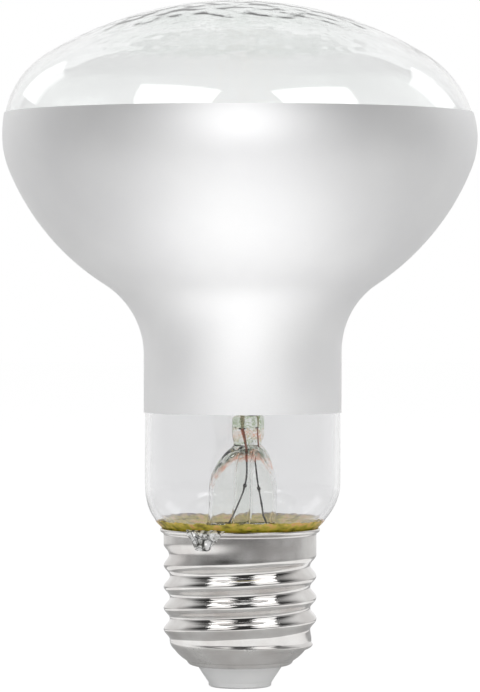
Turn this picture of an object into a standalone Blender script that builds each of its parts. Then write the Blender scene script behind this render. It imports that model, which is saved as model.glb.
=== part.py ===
"""LED reflector lamp for growing plants: a blown glass bulb with a metallised band, a glass stem that
carries four LED filaments, and a screw cap that holds the driver.

Metres, +Z up through the dome. The origin is the centre of the contact face at the foot of the cap.
Outlines are lists of (radius, height) points in the turning plane, from the top down the outer side."""

import math

import bmesh
import bpy
from mathutils import Matrix, Vector

MM = 0.001

# Glass bulb
HEAD_RADIUS = 40.2 * MM
HEAD_HEIGHT = 93.4 * MM
DOME_RISE = 23.2 * MM
SHOULDER_RADIUS = 16.4 * MM
BELLY_RADIUS = 14.4 * MM
BELLY_TURN = math.radians(22)
FLANK_TURN = math.radians(57)
BLEND_RADIUS = 14.1 * MM
NECK_RADIUS = 16.65 * MM
SEAL_INSET = 3.32 * MM
HEEL_TURN = math.radians(75)
GLASS_WALL = 0.9 * MM

# Metallised band on the outside of the glass
BAND_RISE = 4.8 * MM
BAND_FOOT = 46.6 * MM
COATING_GAP = 0.08 * MM
COATING_WALL = 0.12 * MM

# Screw cap, after the common 27 mm Edison size with seven turns to the inch
CREST_RADIUS = 13.0 * MM
THREAD_DEPTH = 0.95 * MM
THREAD_PITCH = 25.4 * MM / 7
THREAD_TURNS = 4.567
RUNOUT_TURN_SHARE = 0.25
CREST_SHARPNESS = 1.3
COLLAR_HEIGHT = 2.73 * MM
RIM_FLARE = 0.65 * MM
RIM_FLARE_DEPTH = 0.9 * MM
SHELL_WALL = 0.25 * MM
SHELL_HOLE_RADIUS = 7.6 * MM
SHELL_HOLE_HEIGHT = 3.6 * MM
LIP_WIDTH = 1.4 * MM
LIP_RISE = 0.8 * MM
CONE_RISE = 3.3 * MM
LEAD_NOTCH_WIDTH = 1.2 * MM
LEAD_NOTCH_DEPTH = 1.9 * MM

# Plastic insulator and centre contact
FACE_LAND = 0.7 * MM
FACE_RECESS = 0.1 * MM
FACE_ROUND = 0.7 * MM
FLANGE_REACH_SHARE = 0.2
FLANGE_TOP = 7.4 * MM
CONTACT_RADIUS = 3.6 * MM
CONTACT_THICKNESS = 0.7 * MM
CONTACT_EDGE = 0.15 * MM
RIVET_RADIUS = 0.9 * MM
RIVET_STAND = 0.5 * MM

# Solder that joins the return wire to the rim of the cap
SOLDER_ANGLE = math.radians(-116.6)
SOLDER_WIDTH = 7.0 * MM
SOLDER_HEIGHT = 3.7 * MM
SOLDER_OVER_RIM = 0.3 * MM
SOLDER_STAND = 1.2 * MM

# Glass stem
STEM_TURN = math.radians(65)
PRESS_TOP = 46.2 * MM
PRESS_HEIGHT = 4.0 * MM
PRESS_SIDE_MARGIN = 2.0 * MM
PRESS_HALF_THICKNESS = 1.6 * MM
PRESS_EDGE = 0.3 * MM
PRESS_SQUARENESS = 2
WAIST_SQUARENESS = 1.2
STEM_SHOULDER_HEIGHT = 6.0 * MM
TUBE_RADIUS = 5.8 * MM
FLARE_HEIGHT = 3.5 * MM
FLARE_SHARE = 0.25
STEM_WALL = 1.1 * MM
STEM_RIM_WALL = 0.7 * MM
EXHAUST_RADIUS = 1.7 * MM
EXHAUST_WALL = 0.5 * MM
EXHAUST_BELOW_RIM = 3.2 * MM
POST_RADIUS = 1.3 * MM
POST_BEAD_RADIUS = 2.4 * MM

# Leads
LEAD_SPREAD = 2.5 * MM
INNER_LEAD_RADIUS = 0.3 * MM
DUMET_RADIUS = 0.2 * MM
DUMET_LENGTH = 5.4 * MM
OUTER_LEAD_RADIUS = 0.3 * MM
WELD_DEPTH = 1.7 * MM
LEAD_RISE = 2.2 * MM
LEAD_KNEE_SHARE = 0.8
LEAD_MOUTH_SPREAD = 3.4 * MM

# Filaments, hung on a cone between the lower ring and the bridges at the top
FILAMENTS_PER_LEAD = 2
RING_RADIUS = 10.0 * MM
RING_RISE = 5.4 * MM
CROWN_RADIUS = 5.4 * MM
FILAMENT_LENGTH = 33.0 * MM
FILAMENT_WIDTH = 1.8 * MM
FILAMENT_THICKNESS = 1.2 * MM
FILAMENT_ROUND = 0.35 * MM
PIN_LENGTH = 2.6 * MM
PIN_WIDTH = 0.9 * MM
PIN_THICKNESS = 0.3 * MM

# Driver; places on the board are shares of its width from the middle and of its height from its foot
BOARD_SIDE_ROOM = 2.75 * MM
BOARD_HEIGHT = 13.6 * MM
BOARD_THICKNESS = 1.0 * MM
BOARD_SETBACK = 3.0 * MM
SLOT_DEPTH = 1.2 * MM
CAPACITOR_RADIUS = 3.15 * MM
CAPACITOR_LENGTH = 9.5 * MM
CAPACITOR_EDGE = 0.4 * MM
CAPACITOR_PLACE_SHARES = (0.25, 0.2)
FUSE_RADIUS = 1.15 * MM
FUSE_LENGTH = 6.0 * MM
FUSE_EDGE = 0.3 * MM
FUSE_PLACE_SHARES = (-0.27, 0.29)
BRIDGE_SIZE = (4.8 * MM, 1.4 * MM, 4.0 * MM)
BRIDGE_PLACE_SHARES = (0.25, 0.65)
DRIVER_IC_SIZE = (4.9 * MM, 1.4 * MM, 3.9 * MM)
DRIVER_IC_PLACE_SHARES = (-0.2, 0.62)
CHIP_SIZE = (3.0 * MM, 0.6 * MM, 1.5 * MM)
CHIP_PLACE_SHARES = ((0.26, 0.33), (-0.19, 0.3))
CHIP_EDGE = 0.15 * MM
WIRE_RADIUS = 0.25 * MM
RETURN_WIRE_INSET = 0.6 * MM

# Clearances and fineness
CLEARANCE = 0.3 * MM
OVERRUN = 2.0 * MM
MERGE_DISTANCE = 0.01 * MM
BULB_STEPS = 36
CAP_STEPS = 36
SMALL_STEPS = 16
STEM_SIDES = 24
ROWS_PER_TURN = 7
SMOOTH_LIMIT = math.radians(40)

# Cap heights, from its foot up
ROOT_RADIUS = CREST_RADIUS - THREAD_DEPTH
CAP_BORE = ROOT_RADIUS - SHELL_WALL
CONE_FOOT_RADIUS = SHELL_HOLE_RADIUS + LIP_WIDTH
CONE_FOOT_HEIGHT = SHELL_HOLE_HEIGHT + LIP_RISE
THREAD_FOOT = CONE_FOOT_HEIGHT + CONE_RISE
THREAD_HEAD = THREAD_FOOT + THREAD_TURNS * THREAD_PITCH
RIM_HEIGHT = THREAD_HEAD + COLLAR_HEIGHT
RIM_RADIUS = CREST_RADIUS + RIM_FLARE

# The heel of the glass seats in the rim of the cap and turns in to the seal with the stem
SEAL_RADIUS = CREST_RADIUS - SEAL_INSET
HEEL_RADIUS = (NECK_RADIUS - SEAL_RADIUS) / (1 - math.cos(HEEL_TURN))
HEEL_CENTRE = NECK_RADIUS - HEEL_RADIUS
HEEL_SEAT_RADIUS = RIM_RADIUS - SHELL_WALL - CLEARANCE
HEEL_HEIGHT = RIM_HEIGHT + math.sqrt(HEEL_RADIUS**2 - (HEEL_SEAT_RADIUS - HEEL_CENTRE) ** 2)
HEEL_FOOT = HEEL_HEIGHT - HEEL_RADIUS * math.sin(HEEL_TURN)

# Stem heights, from the press down and up
PRESS_FOOT = PRESS_TOP - PRESS_HEIGHT
PRESS_HALF_WIDTH = LEAD_SPREAD + PRESS_SIDE_MARGIN
STEM_CEILING = PRESS_FOOT - STEM_WALL
TUBE_TOP = PRESS_FOOT - STEM_SHOULDER_HEIGHT
TUBE_FOOT = HEEL_FOOT + FLARE_HEIGHT
WELD_HEIGHT = PRESS_TOP - WELD_DEPTH
RING_HEIGHT = PRESS_TOP + RING_RISE

# A filament with its pins leans from the ring to the crown
FILAMENT_REACH = FILAMENT_LENGTH + 2 * PIN_LENGTH + 2 * CLEARANCE
FILAMENT_LEAN = math.asin((RING_RADIUS - CROWN_RADIUS) / FILAMENT_REACH)
FILAMENT_FOOT = Vector((RING_RADIUS, RING_HEIGHT + INNER_LEAD_RADIUS + CLEARANCE))
FILAMENT_WAY = Vector((-math.sin(FILAMENT_LEAN), math.cos(FILAMENT_LEAN)))
CROWN = FILAMENT_FOOT + FILAMENT_WAY * FILAMENT_REACH
CROWN_WIRE_HEIGHT = CROWN.y + INNER_LEAD_RADIUS

# Places of the driver
BOARD_FOOT = FLANGE_TOP - SLOT_DEPTH + CLEARANCE
BOARD_TOP = BOARD_FOOT + BOARD_HEIGHT
BOARD_BACK = BOARD_SETBACK + BOARD_THICKNESS / 2
BOARD_FRONT = BOARD_SETBACK - BOARD_THICKNESS / 2
BOARD_WIDTH = 2 * (math.sqrt(CAP_BORE**2 - BOARD_BACK**2) - BOARD_SIDE_ROOM)


def outline_arc(centre, radius, start, end, pieces):
    """Points on an arc in the turning plane; its angles are measured from +X."""
    angles = [start + (end - start) * i / pieces for i in range(pieces + 1)]
    return [(centre[0] + radius * math.cos(a), centre[1] + radius * math.sin(a)) for a in angles]


def around(radius, angle, height):
    return (radius * math.cos(angle), radius * math.sin(angle), height)


def offset_outline(points, distance):
    """The outline moved outward by a distance, with its corners mitred."""
    moved = []
    for i, (radius, height) in enumerate(points):
        before = Vector(points[max(i - 1, 0)])
        here = Vector((radius, height))
        after = Vector(points[min(i + 1, len(points) - 1)])
        along_in = (here - before).normalized() if i else (after - here).normalized()
        along_out = (after - here).normalized() if i < len(points) - 1 else along_in
        normal_in = Vector((-along_in.y, along_in.x))
        normal_out = Vector((-along_out.y, along_out.x))
        mitre = (normal_in + normal_out).normalized()
        moved.append(tuple(here + mitre * distance / mitre.dot(normal_in)))
    return moved


def cut_outline(points, top, foot):
    """The part of an outline between two heights."""
    kept = []
    for (r1, z1), (r2, z2) in zip(points, points[1:]):
        for level in (top, foot):
            if z1 > level > z2:
                share = (z1 - level) / (z1 - z2)
                kept.append((r1 + (r2 - r1) * share, level))
        if top > z2 > foot:
            kept.append((r2, z2))
    return kept


def fade(value, start, end):
    """One at the start and nought at the end, smoothly."""
    share = min(max((value - start) / (end - start), 0), 1)
    return 1 - share * share * (3 - 2 * share)


def material(name, colour, roughness, metallic=0.0, glass=0.0):
    found = bpy.data.materials.get(name)
    if found:
        return found
    made = bpy.data.materials.new(name)
    made.use_nodes = True
    shader = made.node_tree.nodes["Principled BSDF"]
    shader.inputs["Base Color"].default_value = (*colour, 1)
    shader.inputs["Roughness"].default_value = roughness
    shader.inputs["Metallic"].default_value = metallic
    shader.inputs["Transmission Weight"].default_value = glass
    made.diffuse_color = (*colour, 1)
    return made


def clear_glass():
    return material("clear_glass", (0.93, 0.95, 0.94), 0.02, glass=1.0)


def nickel():
    return material("nickel_plate", (0.72, 0.71, 0.69), 0.22, metallic=1.0)


def lead_metal():
    return material("lead_wire", (0.45, 0.43, 0.41), 0.35, metallic=1.0)


def add_object(name, data, finish, parent=None):
    made = bpy.data.objects.new(name, data)
    data.materials.append(finish)
    lamp.objects.link(made)
    made.parent = parent
    return made


def outline_mesh(name, points, closed):
    mesh = bpy.data.meshes.new(name)
    edges = [(i, i + 1) for i in range(len(points) - 1)]
    if closed:
        edges.append((len(points) - 1, 0))
    mesh.from_pydata([(radius, 0, height) for radius, height in points], edges, [])
    return mesh


def turned(name, points, finish, steps, closed=False, parent=None):
    """A solid or a sheet turned about Z from its outline."""
    made = add_object(name, outline_mesh(name, points, closed), finish, parent)
    screw = made.modifiers.new("turn", "SCREW")
    screw.steps = steps
    screw.render_steps = steps
    screw.use_merge_vertices = True
    screw.merge_threshold = MERGE_DISTANCE
    screw.use_smooth_shade = True
    return made


def thicken(made, wall, outward=False):
    solidify = made.modifiers.new("wall", "SOLIDIFY")
    solidify.thickness = wall
    solidify.offset = 1 if outward else -1
    solidify.use_even_offset = True
    return made


def cut(made, cutter):
    boolean = made.modifiers.new("cut", "BOOLEAN")
    boolean.operation = "DIFFERENCE"
    boolean.solver = "EXACT"
    boolean.object = cutter


def as_cutter(made):
    lamp.objects.unlink(made)
    cutters.objects.link(made)
    made.hide_render = True
    made.display_type = "WIRE"
    return made


def fixed_mesh(made):
    """Turns an object's modifiers into its own mesh."""
    mesh = bpy.data.meshes.new_from_object(made.evaluated_get(bpy.context.evaluated_depsgraph_get()))
    made.modifiers.clear()
    made.data = mesh
    return mesh


def wire(name, points, radius, finish, parent=None):
    curve = bpy.data.curves.new(name, "CURVE")
    curve.dimensions = "3D"
    curve.bevel_depth = radius
    curve.bevel_resolution = 2
    curve.use_fill_caps = True
    spline = curve.splines.new("POLY")
    spline.points.add(len(points) - 1)
    for point, place in zip(spline.points, points):
        point.co = (*place, 1)
    spline.use_smooth = True
    return add_object(name, curve, finish, parent)


def block(name, size, place, finish, edge=0.0, parent=None):
    mesh = bpy.data.meshes.new(name)
    shape = bmesh.new()
    bmesh.ops.create_cube(shape, size=1, matrix=Matrix.Diagonal((*size, 1)))
    shape.to_mesh(mesh)
    shape.free()
    made = add_object(name, mesh, finish, parent)
    made.location = place
    if edge:
        bevel = made.modifiers.new("edge", "BEVEL")
        bevel.width = edge
        bevel.segments = 1
    return made


def drum(name, radius, foot, length, edge, place, finish, parent=None):
    """An upright round piece with a bevelled edge at both ends."""
    top = foot + length
    points = [(0, top), (radius - edge, top), (radius, top - edge)]
    points += [(radius, foot + edge), (radius - edge, foot), (0, foot)]
    made = turned(name, points, finish, SMALL_STEPS, parent=parent)
    made.location = (*place, 0)
    return made


def bulb_outline():
    """Dome, shoulder, belly, flank, neck and heel, each tangent to the next."""
    shoulder_centre = HEAD_RADIUS - SHOULDER_RADIUS
    dome_radius = shoulder_centre**2 + DOME_RISE**2 - SHOULDER_RADIUS**2
    dome_radius /= 2 * (DOME_RISE - SHOULDER_RADIUS)
    dome_centre = HEAD_HEIGHT + DOME_RISE - dome_radius
    meeting = math.atan2(HEAD_HEIGHT - dome_centre, shoulder_centre)
    points = outline_arc((0, dome_centre), dome_radius, math.pi / 2, meeting, 5)
    points += outline_arc((shoulder_centre, HEAD_HEIGHT), SHOULDER_RADIUS, meeting, 0, 5)[1:]

    belly_centre = HEAD_RADIUS - BELLY_RADIUS
    points += outline_arc((belly_centre, HEAD_HEIGHT), BELLY_RADIUS, 0, -BELLY_TURN, 3)[1:]

    drop = HEAD_RADIUS - NECK_RADIUS
    drop -= BELLY_RADIUS * (1 - math.cos(BELLY_TURN)) + BLEND_RADIUS * (1 - math.cos(FLANK_TURN))
    flank_radius = drop / (math.cos(BELLY_TURN) - math.cos(FLANK_TURN))
    flank_centre = (belly_centre - (flank_radius - BELLY_RADIUS) * math.cos(BELLY_TURN),
                    HEAD_HEIGHT + (flank_radius - BELLY_RADIUS) * math.sin(BELLY_TURN))
    points += outline_arc(flank_centre, flank_radius, -BELLY_TURN, -FLANK_TURN, 5)[1:]

    neck_top = flank_centre[1] - (flank_radius + BLEND_RADIUS) * math.sin(FLANK_TURN)
    blend_centre = (NECK_RADIUS + BLEND_RADIUS, neck_top)
    points += outline_arc(blend_centre, BLEND_RADIUS, math.pi - FLANK_TURN, math.pi, 4)[1:]
    points += outline_arc((HEEL_CENTRE, HEEL_HEIGHT), HEEL_RADIUS, 0, -HEEL_TURN, 5)
    return points


def shell_outline():
    """Outer side of the cap: flared rim, collar, thread, cone and the turned-in lip."""
    flare_foot = RIM_HEIGHT - RIM_FLARE_DEPTH
    points = [(RIM_RADIUS, RIM_HEIGHT), (RIM_RADIUS, (RIM_HEIGHT + flare_foot) / 2)]
    points.append((CREST_RADIUS, flare_foot))
    rows = math.ceil(THREAD_TURNS * ROWS_PER_TURN)
    for i in range(rows + 1):
        points.append((ROOT_RADIUS, THREAD_HEAD - (THREAD_HEAD - THREAD_FOOT) * i / rows))
    points.append((CONE_FOOT_RADIUS, CONE_FOOT_HEIGHT))
    points.append((SHELL_HOLE_RADIUS, SHELL_HOLE_HEIGHT))
    return points


def thread_radius(angle, height):
    """Radius of the rolled thread; its groove runs out into the collar and its crest into the cone."""
    turns = (height - THREAD_HEAD) / THREAD_PITCH - angle / math.tau + 0.5
    crest_height = height + (round(turns) - turns) * THREAD_PITCH
    groove_height = height + (math.floor(turns) + 0.5 - turns) * THREAD_PITCH
    last_groove = THREAD_HEAD - THREAD_PITCH / 2
    runout = THREAD_PITCH * RUNOUT_TURN_SHARE
    ridge_share = (0.5 + 0.5 * math.cos(math.tau * turns)) ** CREST_SHARPNESS
    groove_share = (1 - ridge_share) * fade(groove_height, last_groove, last_groove + runout)
    grown_share = 1 - fade(crest_height, THREAD_FOOT, THREAD_FOOT + runout)
    return CREST_RADIUS - THREAD_DEPTH * (1 - (1 - groove_share) * grown_share)


def make_bulb():
    """The blown glass and the metallised band around it."""
    outline = bulb_outline()
    thicken(turned("glass_envelope", outline, clear_glass(), BULB_STEPS), GLASS_WALL)
    band = cut_outline(offset_outline(outline, COATING_GAP), HEAD_HEIGHT + BAND_RISE, BAND_FOOT)
    silver = material("satin_metallising", (0.82, 0.82, 0.8), 0.35, metallic=1.0)
    thicken(turned("reflector_coating", band, silver, BULB_STEPS), COATING_WALL, outward=True)


def make_cap_shell():
    shell = turned("cap_shell", shell_outline(), nickel(), CAP_STEPS)
    mesh = fixed_mesh(shell)
    for vertex in mesh.vertices:
        if THREAD_FOOT - MERGE_DISTANCE < vertex.co.z < THREAD_HEAD + MERGE_DISTANCE:
            flat = Vector((vertex.co.x, vertex.co.y))
            flat *= thread_radius(math.atan2(flat.y, flat.x), vertex.co.z) / flat.length
            vertex.co = (flat.x, flat.y, vertex.co.z)
    thicken(shell, SHELL_WALL)
    reach = RIM_RADIUS - CREST_RADIUS + 2 * OVERRUN
    height = LEAD_NOTCH_DEPTH + OVERRUN
    middle = RIM_HEIGHT - LEAD_NOTCH_DEPTH + height / 2
    notch = block("notch_cutter", (reach, LEAD_NOTCH_WIDTH, height), (0, 0, 0), nickel())
    notch.location = around(CREST_RADIUS, SOLDER_ANGLE, middle)
    notch.rotation_euler.z = SOLDER_ANGLE
    cut(shell, as_cutter(notch))


def make_cement():
    """The ring of cement between the heel of the bulb and the collar, with a groove for the return wire."""
    outer_radius = CREST_RADIUS - SHELL_WALL - CLEARANCE
    heel = outline_arc((HEEL_CENTRE, HEEL_HEIGHT), HEEL_RADIUS + CLEARANCE, 0, -HEEL_TURN, 16)
    top = min(RIM_HEIGHT, next(height for radius, height in heel if radius < outer_radius))
    inner = [point for point in reversed(heel) if point[1] < top]
    points = [(outer_radius, top), (outer_radius, THREAD_HEAD), (inner[0][0], THREAD_HEAD)] + inner
    cement = material("cement", (0.62, 0.58, 0.3), 0.8)
    ring = turned("cap_cement", points, cement, CAP_STEPS, closed=True)
    depth = 2 * (RETURN_WIRE_INSET + WIRE_RADIUS + CLEARANCE)
    width = 2 * (WIRE_RADIUS + CLEARANCE)
    groove = block("groove_cutter", (depth, width, RIM_HEIGHT), (0, 0, 0), cement)
    groove.location = around(outer_radius, SOLDER_ANGLE, RIM_HEIGHT)
    groove.rotation_euler.z = SOLDER_ANGLE
    cut(ring, as_cutter(groove))


def make_insulator():
    """The moulded foot of the cap: a flange inside the cone, a waist in its hole, and a cone below."""
    foot = [(ROOT_RADIUS, THREAD_FOOT), (CONE_FOOT_RADIUS, CONE_FOOT_HEIGHT)]
    foot.append((SHELL_HOLE_RADIUS, SHELL_HOLE_HEIGHT))
    cone_top, seat, _ = offset_outline(foot, -SHELL_WALL - CLEARANCE)
    flange_radius = seat[0] + (cone_top[0] - seat[0]) * FLANGE_REACH_SHARE
    flange_foot = seat[1] + (cone_top[1] - seat[1]) * FLANGE_REACH_SHARE
    waist = SHELL_HOLE_RADIUS - CLEARANCE
    waist_top = seat[1] - (seat[0] - waist) * LIP_RISE / LIP_WIDTH
    face_radius = CONTACT_RADIUS + CLEARANCE + FACE_LAND
    bore = RIVET_RADIUS + CLEARANCE
    pocket = CONTACT_RADIUS + CLEARANCE
    ceiling = CONTACT_THICKNESS + CLEARANCE
    points = [(bore, FLANGE_TOP), (flange_radius, FLANGE_TOP), (flange_radius, flange_foot), seat]
    points += [(waist, waist_top), (waist, SHELL_HOLE_HEIGHT - CLEARANCE)]
    points += [(face_radius + FACE_ROUND, FACE_ROUND), (face_radius, FACE_RECESS)]
    points += [(pocket, FACE_RECESS), (pocket, ceiling), (bore, ceiling)]
    plastic = material("white_plastic", (0.88, 0.88, 0.86), 0.4)
    insulator = turned("cap_insulator", points, plastic, CAP_STEPS, closed=True)
    slot_size = (2 * (flange_radius + OVERRUN), BOARD_THICKNESS + 2 * CLEARANCE, 2 * SLOT_DEPTH)
    slot = block("slot_cutter", slot_size, (0, BOARD_SETBACK, FLANGE_TOP), plastic, 0, inner_frame)
    cut(insulator, as_cutter(slot))


def make_contact():
    top = FLANGE_TOP + RIVET_STAND
    points = [(0, top), (RIVET_RADIUS, top), (RIVET_RADIUS, CONTACT_THICKNESS)]
    points += [(CONTACT_RADIUS, CONTACT_THICKNESS), (CONTACT_RADIUS, CONTACT_EDGE)]
    points += [(CONTACT_RADIUS - CONTACT_EDGE, 0), (0, 0)]
    plated = material("contact_brass", (0.75, 0.7, 0.6), 0.3, metallic=1.0)
    turned("contact_pin", points, plated, SMALL_STEPS)


def make_solder():
    """A drop of solder on the collar and the rim, hollowed to their shape."""
    mesh = bpy.data.meshes.new("side_solder")
    shape = bmesh.new()
    size = Matrix.Diagonal((SOLDER_STAND, SOLDER_WIDTH / 2, SOLDER_HEIGHT / 2, 1))
    bmesh.ops.create_uvsphere(shape, u_segments=16, v_segments=8, radius=1, matrix=size)
    shape.to_mesh(mesh)
    shape.free()
    mesh.shade_smooth()
    drop = add_object("side_solder", mesh, material("solder", (0.6, 0.6, 0.6), 0.3, metallic=1.0))
    middle = RIM_HEIGHT + SOLDER_OVER_RIM - SOLDER_HEIGHT / 2
    drop.location = around(CREST_RADIUS + CLEARANCE, SOLDER_ANGLE, middle)
    drop.rotation_euler.z = SOLDER_ANGLE
    collar = [point for point in shell_outline() if point[1] > THREAD_HEAD]
    collar = [(RIM_RADIUS, RIM_HEIGHT + OVERRUN)] + collar[1:] + [(CREST_RADIUS, THREAD_FOOT)]
    cleared = [(0, RIM_HEIGHT + OVERRUN)] + offset_outline(collar, CLEARANCE) + [(0, THREAD_FOOT)]
    cut(drop, as_cutter(turned("collar_cutter", cleared, nickel(), CAP_STEPS)))


def oval_ring(half_width, half_thickness, height, squareness):
    """A level ring of points, an ellipse at squareness 1 and a box with round corners above it."""
    ring = []
    for i in range(STEM_SIDES):
        angle = math.tau * i / STEM_SIDES
        across = math.copysign(abs(math.cos(angle)) ** (1 / squareness), math.cos(angle))
        along = math.copysign(abs(math.sin(angle)) ** (1 / squareness), math.sin(angle))
        ring.append((half_width * across, half_thickness * along, height))
    return ring


def bore_for_leads(press):
    """Two upright holes from the hollow of the stem through the press, one for each lead."""
    radius = INNER_LEAD_RADIUS + CLEARANCE
    foot = STEM_CEILING - OVERRUN
    length = PRESS_TOP + OVERRUN - foot
    for side in (-1, 1):
        place = (side * LEAD_SPREAD, 0)
        bore = drum("lead_bore_cutter", radius, foot, length, 0, place, clear_glass(), inner_frame)
        cut(press, as_cutter(bore))


def make_stem():
    """Flared tube, shoulders and flat press, hollow up to the foot of the press."""
    rim_radius = HEEL_CENTRE + (HEEL_RADIUS - GLASS_WALL) * math.cos(HEEL_TURN) - CLEARANCE
    bore = TUBE_RADIUS - STEM_WALL
    middle_radius = TUBE_RADIUS + (rim_radius - TUBE_RADIUS) * FLARE_SHARE
    mouth_radius = bore + (rim_radius - bore) * FLARE_SHARE
    flare_middle = (TUBE_FOOT + HEEL_FOOT + STEM_RIM_WALL) / 2
    waist = (PRESS_FOOT + TUBE_TOP) / 2
    waist_width = (PRESS_HALF_WIDTH + TUBE_RADIUS) / 2
    waist_thickness = (PRESS_HALF_THICKNESS + TUBE_RADIUS) / 2
    rings = [
        oval_ring(PRESS_HALF_WIDTH - PRESS_EDGE, PRESS_HALF_THICKNESS - PRESS_EDGE, PRESS_TOP,
                  PRESS_SQUARENESS),
        oval_ring(PRESS_HALF_WIDTH, PRESS_HALF_THICKNESS, PRESS_TOP - PRESS_EDGE, PRESS_SQUARENESS),
        oval_ring(PRESS_HALF_WIDTH, PRESS_HALF_THICKNESS, PRESS_FOOT, PRESS_SQUARENESS),
        oval_ring(waist_width, waist_thickness, waist, WAIST_SQUARENESS),
        oval_ring(TUBE_RADIUS, TUBE_RADIUS, TUBE_TOP, 1),
        oval_ring(TUBE_RADIUS, TUBE_RADIUS, TUBE_FOOT, 1),
        oval_ring(middle_radius, middle_radius, flare_middle, 1),
        oval_ring(rim_radius, rim_radius, HEEL_FOOT + STEM_RIM_WALL, 1),
        oval_ring(rim_radius, rim_radius, HEEL_FOOT, 1),
        oval_ring(mouth_radius, mouth_radius, flare_middle - STEM_WALL, 1),
        oval_ring(bore, bore, TUBE_FOOT - STEM_WALL, 1),
        oval_ring(bore, bore, TUBE_TOP - STEM_WALL, 1),
        oval_ring(waist_width - STEM_WALL, waist_thickness - STEM_WALL, waist - STEM_WALL,
                  WAIST_SQUARENESS),
        oval_ring(PRESS_HALF_WIDTH - STEM_WALL, EXHAUST_RADIUS, STEM_CEILING, 1),
    ]
    shape = bmesh.new()
    loops = [[shape.verts.new(place) for place in ring] for ring in rings]
    for upper, lower in zip(loops, loops[1:]):
        for i in range(STEM_SIDES):
            j = (i + 1) % STEM_SIDES
            shape.faces.new((upper[i], lower[i], lower[j], upper[j]))
    shape.faces.new(loops[0])
    shape.faces.new(reversed(loops[-1]))
    mesh = bpy.data.meshes.new("stem_flare")
    shape.to_mesh(mesh)
    shape.free()
    mesh.shade_smooth()
    mesh.set_sharp_from_angle(angle=SMOOTH_LIMIT)
    stem = add_object("stem_flare", mesh, clear_glass(), inner_frame)
    bore_for_leads(stem)


def make_exhaust_tube():
    """The tube the bulb was emptied and filled through, sealed at its foot and open under the press."""
    top = STEM_CEILING - CLEARANCE
    bore = EXHAUST_RADIUS - EXHAUST_WALL
    tip = HEEL_FOOT - EXHAUST_BELOW_RIM + EXHAUST_RADIUS
    points = [(bore, top), (EXHAUST_RADIUS, top), (EXHAUST_RADIUS, tip)]
    points += outline_arc((0, tip), EXHAUST_RADIUS, 0, -math.pi / 2, 3)[1:]
    points += outline_arc((0, tip), bore, -math.pi / 2, 0, 3)
    turned("exhaust_tube", points + points[:1], clear_glass(), SMALL_STEPS, parent=inner_frame)


def make_post():
    """The solid glass rod on the press, with a bead that carries the upper bridges."""
    foot = PRESS_TOP + CLEARANCE
    shoulder = math.asin(POST_RADIUS / POST_BEAD_RADIUS)
    bead = outline_arc((0, CROWN_WIRE_HEIGHT), POST_BEAD_RADIUS, math.pi / 2, shoulder - math.pi / 2, 7)
    points = bead + [(POST_RADIUS, foot), (0, foot)]
    turned("glass_post", points, clear_glass(), SMALL_STEPS, parent=inner_frame)


def make_leads():
    """Each side has an inner lead for two filaments, a dumet wire in the press, and an outer lead."""
    dumet = material("dumet_copper", (0.62, 0.24, 0.13), 0.35, metallic=1.0)
    spacing = math.pi / FILAMENTS_PER_LEAD
    dumet_foot = WELD_HEIGHT - DUMET_LENGTH
    for name, side in (("left", -1), ("right", 1)):
        middle = 0 if side > 0 else math.pi
        foot = (side * LEAD_SPREAD, 0)
        inner = [(*foot, WELD_HEIGHT), (*foot, PRESS_TOP + LEAD_RISE)]
        knee_radius = RING_RADIUS * LEAD_KNEE_SHARE
        inner.append(around(knee_radius, middle - spacing / 2, RING_HEIGHT - LEAD_RISE / 4))
        inner += [around(RING_RADIUS, middle + spacing * (i / 6 - 0.5), RING_HEIGHT) for i in range(7)]
        wire(f"inner_lead_{name}", inner, INNER_LEAD_RADIUS, lead_metal(), inner_frame)
        sealed = [(*foot, WELD_HEIGHT - CLEARANCE), (*foot, dumet_foot)]
        wire(f"dumet_lead_{name}", sealed, DUMET_RADIUS, dumet, inner_frame)
        mouth = side * LEAD_MOUTH_SPREAD
        outer = [(*foot, dumet_foot - CLEARANCE), (*foot, TUBE_TOP), (mouth, 0, TUBE_FOOT)]
        outer.append((mouth, BOARD_SETBACK / 2, (TUBE_FOOT + BOARD_TOP) / 2))
        outer.append((mouth, BOARD_SETBACK, BOARD_TOP + CLEARANCE))
        wire(f"outer_lead_{name}", outer, OUTER_LEAD_RADIUS, lead_metal(), inner_frame)


def make_filaments():
    """Four phosphor-coated strips, each with a metal pin at both ends."""
    phosphor = material("phosphor_coat", (0.86, 0.6, 0.25), 0.55)
    strip_size = (FILAMENT_THICKNESS, FILAMENT_WIDTH, FILAMENT_LENGTH)
    pin_size = (PIN_THICKNESS, PIN_WIDTH, PIN_LENGTH)
    middle = FILAMENT_FOOT + FILAMENT_WAY * FILAMENT_REACH / 2
    pin_reach = FILAMENT_WAY * (FILAMENT_REACH - PIN_LENGTH) / 2
    count = 2 * FILAMENTS_PER_LEAD
    for i in range(count):
        angle = math.tau * (i + 0.5) / count
        pieces = [(f"led_filament_{i + 1}", middle, strip_size, phosphor, FILAMENT_ROUND)]
        pieces.append((f"filament_pin_{i + 1}_lower", middle - pin_reach, pin_size, nickel(), 0))
        pieces.append((f"filament_pin_{i + 1}_upper", middle + pin_reach, pin_size, nickel(), 0))
        for name, place, size, finish, edge in pieces:
            made = block(name, size, around(place.x, angle, place.y), finish, edge, inner_frame)
            turn = Matrix.Rotation(angle, 3, "Z") @ Matrix.Rotation(-FILAMENT_LEAN, 3, "Y")
            made.rotation_euler = turn.to_euler()


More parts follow.
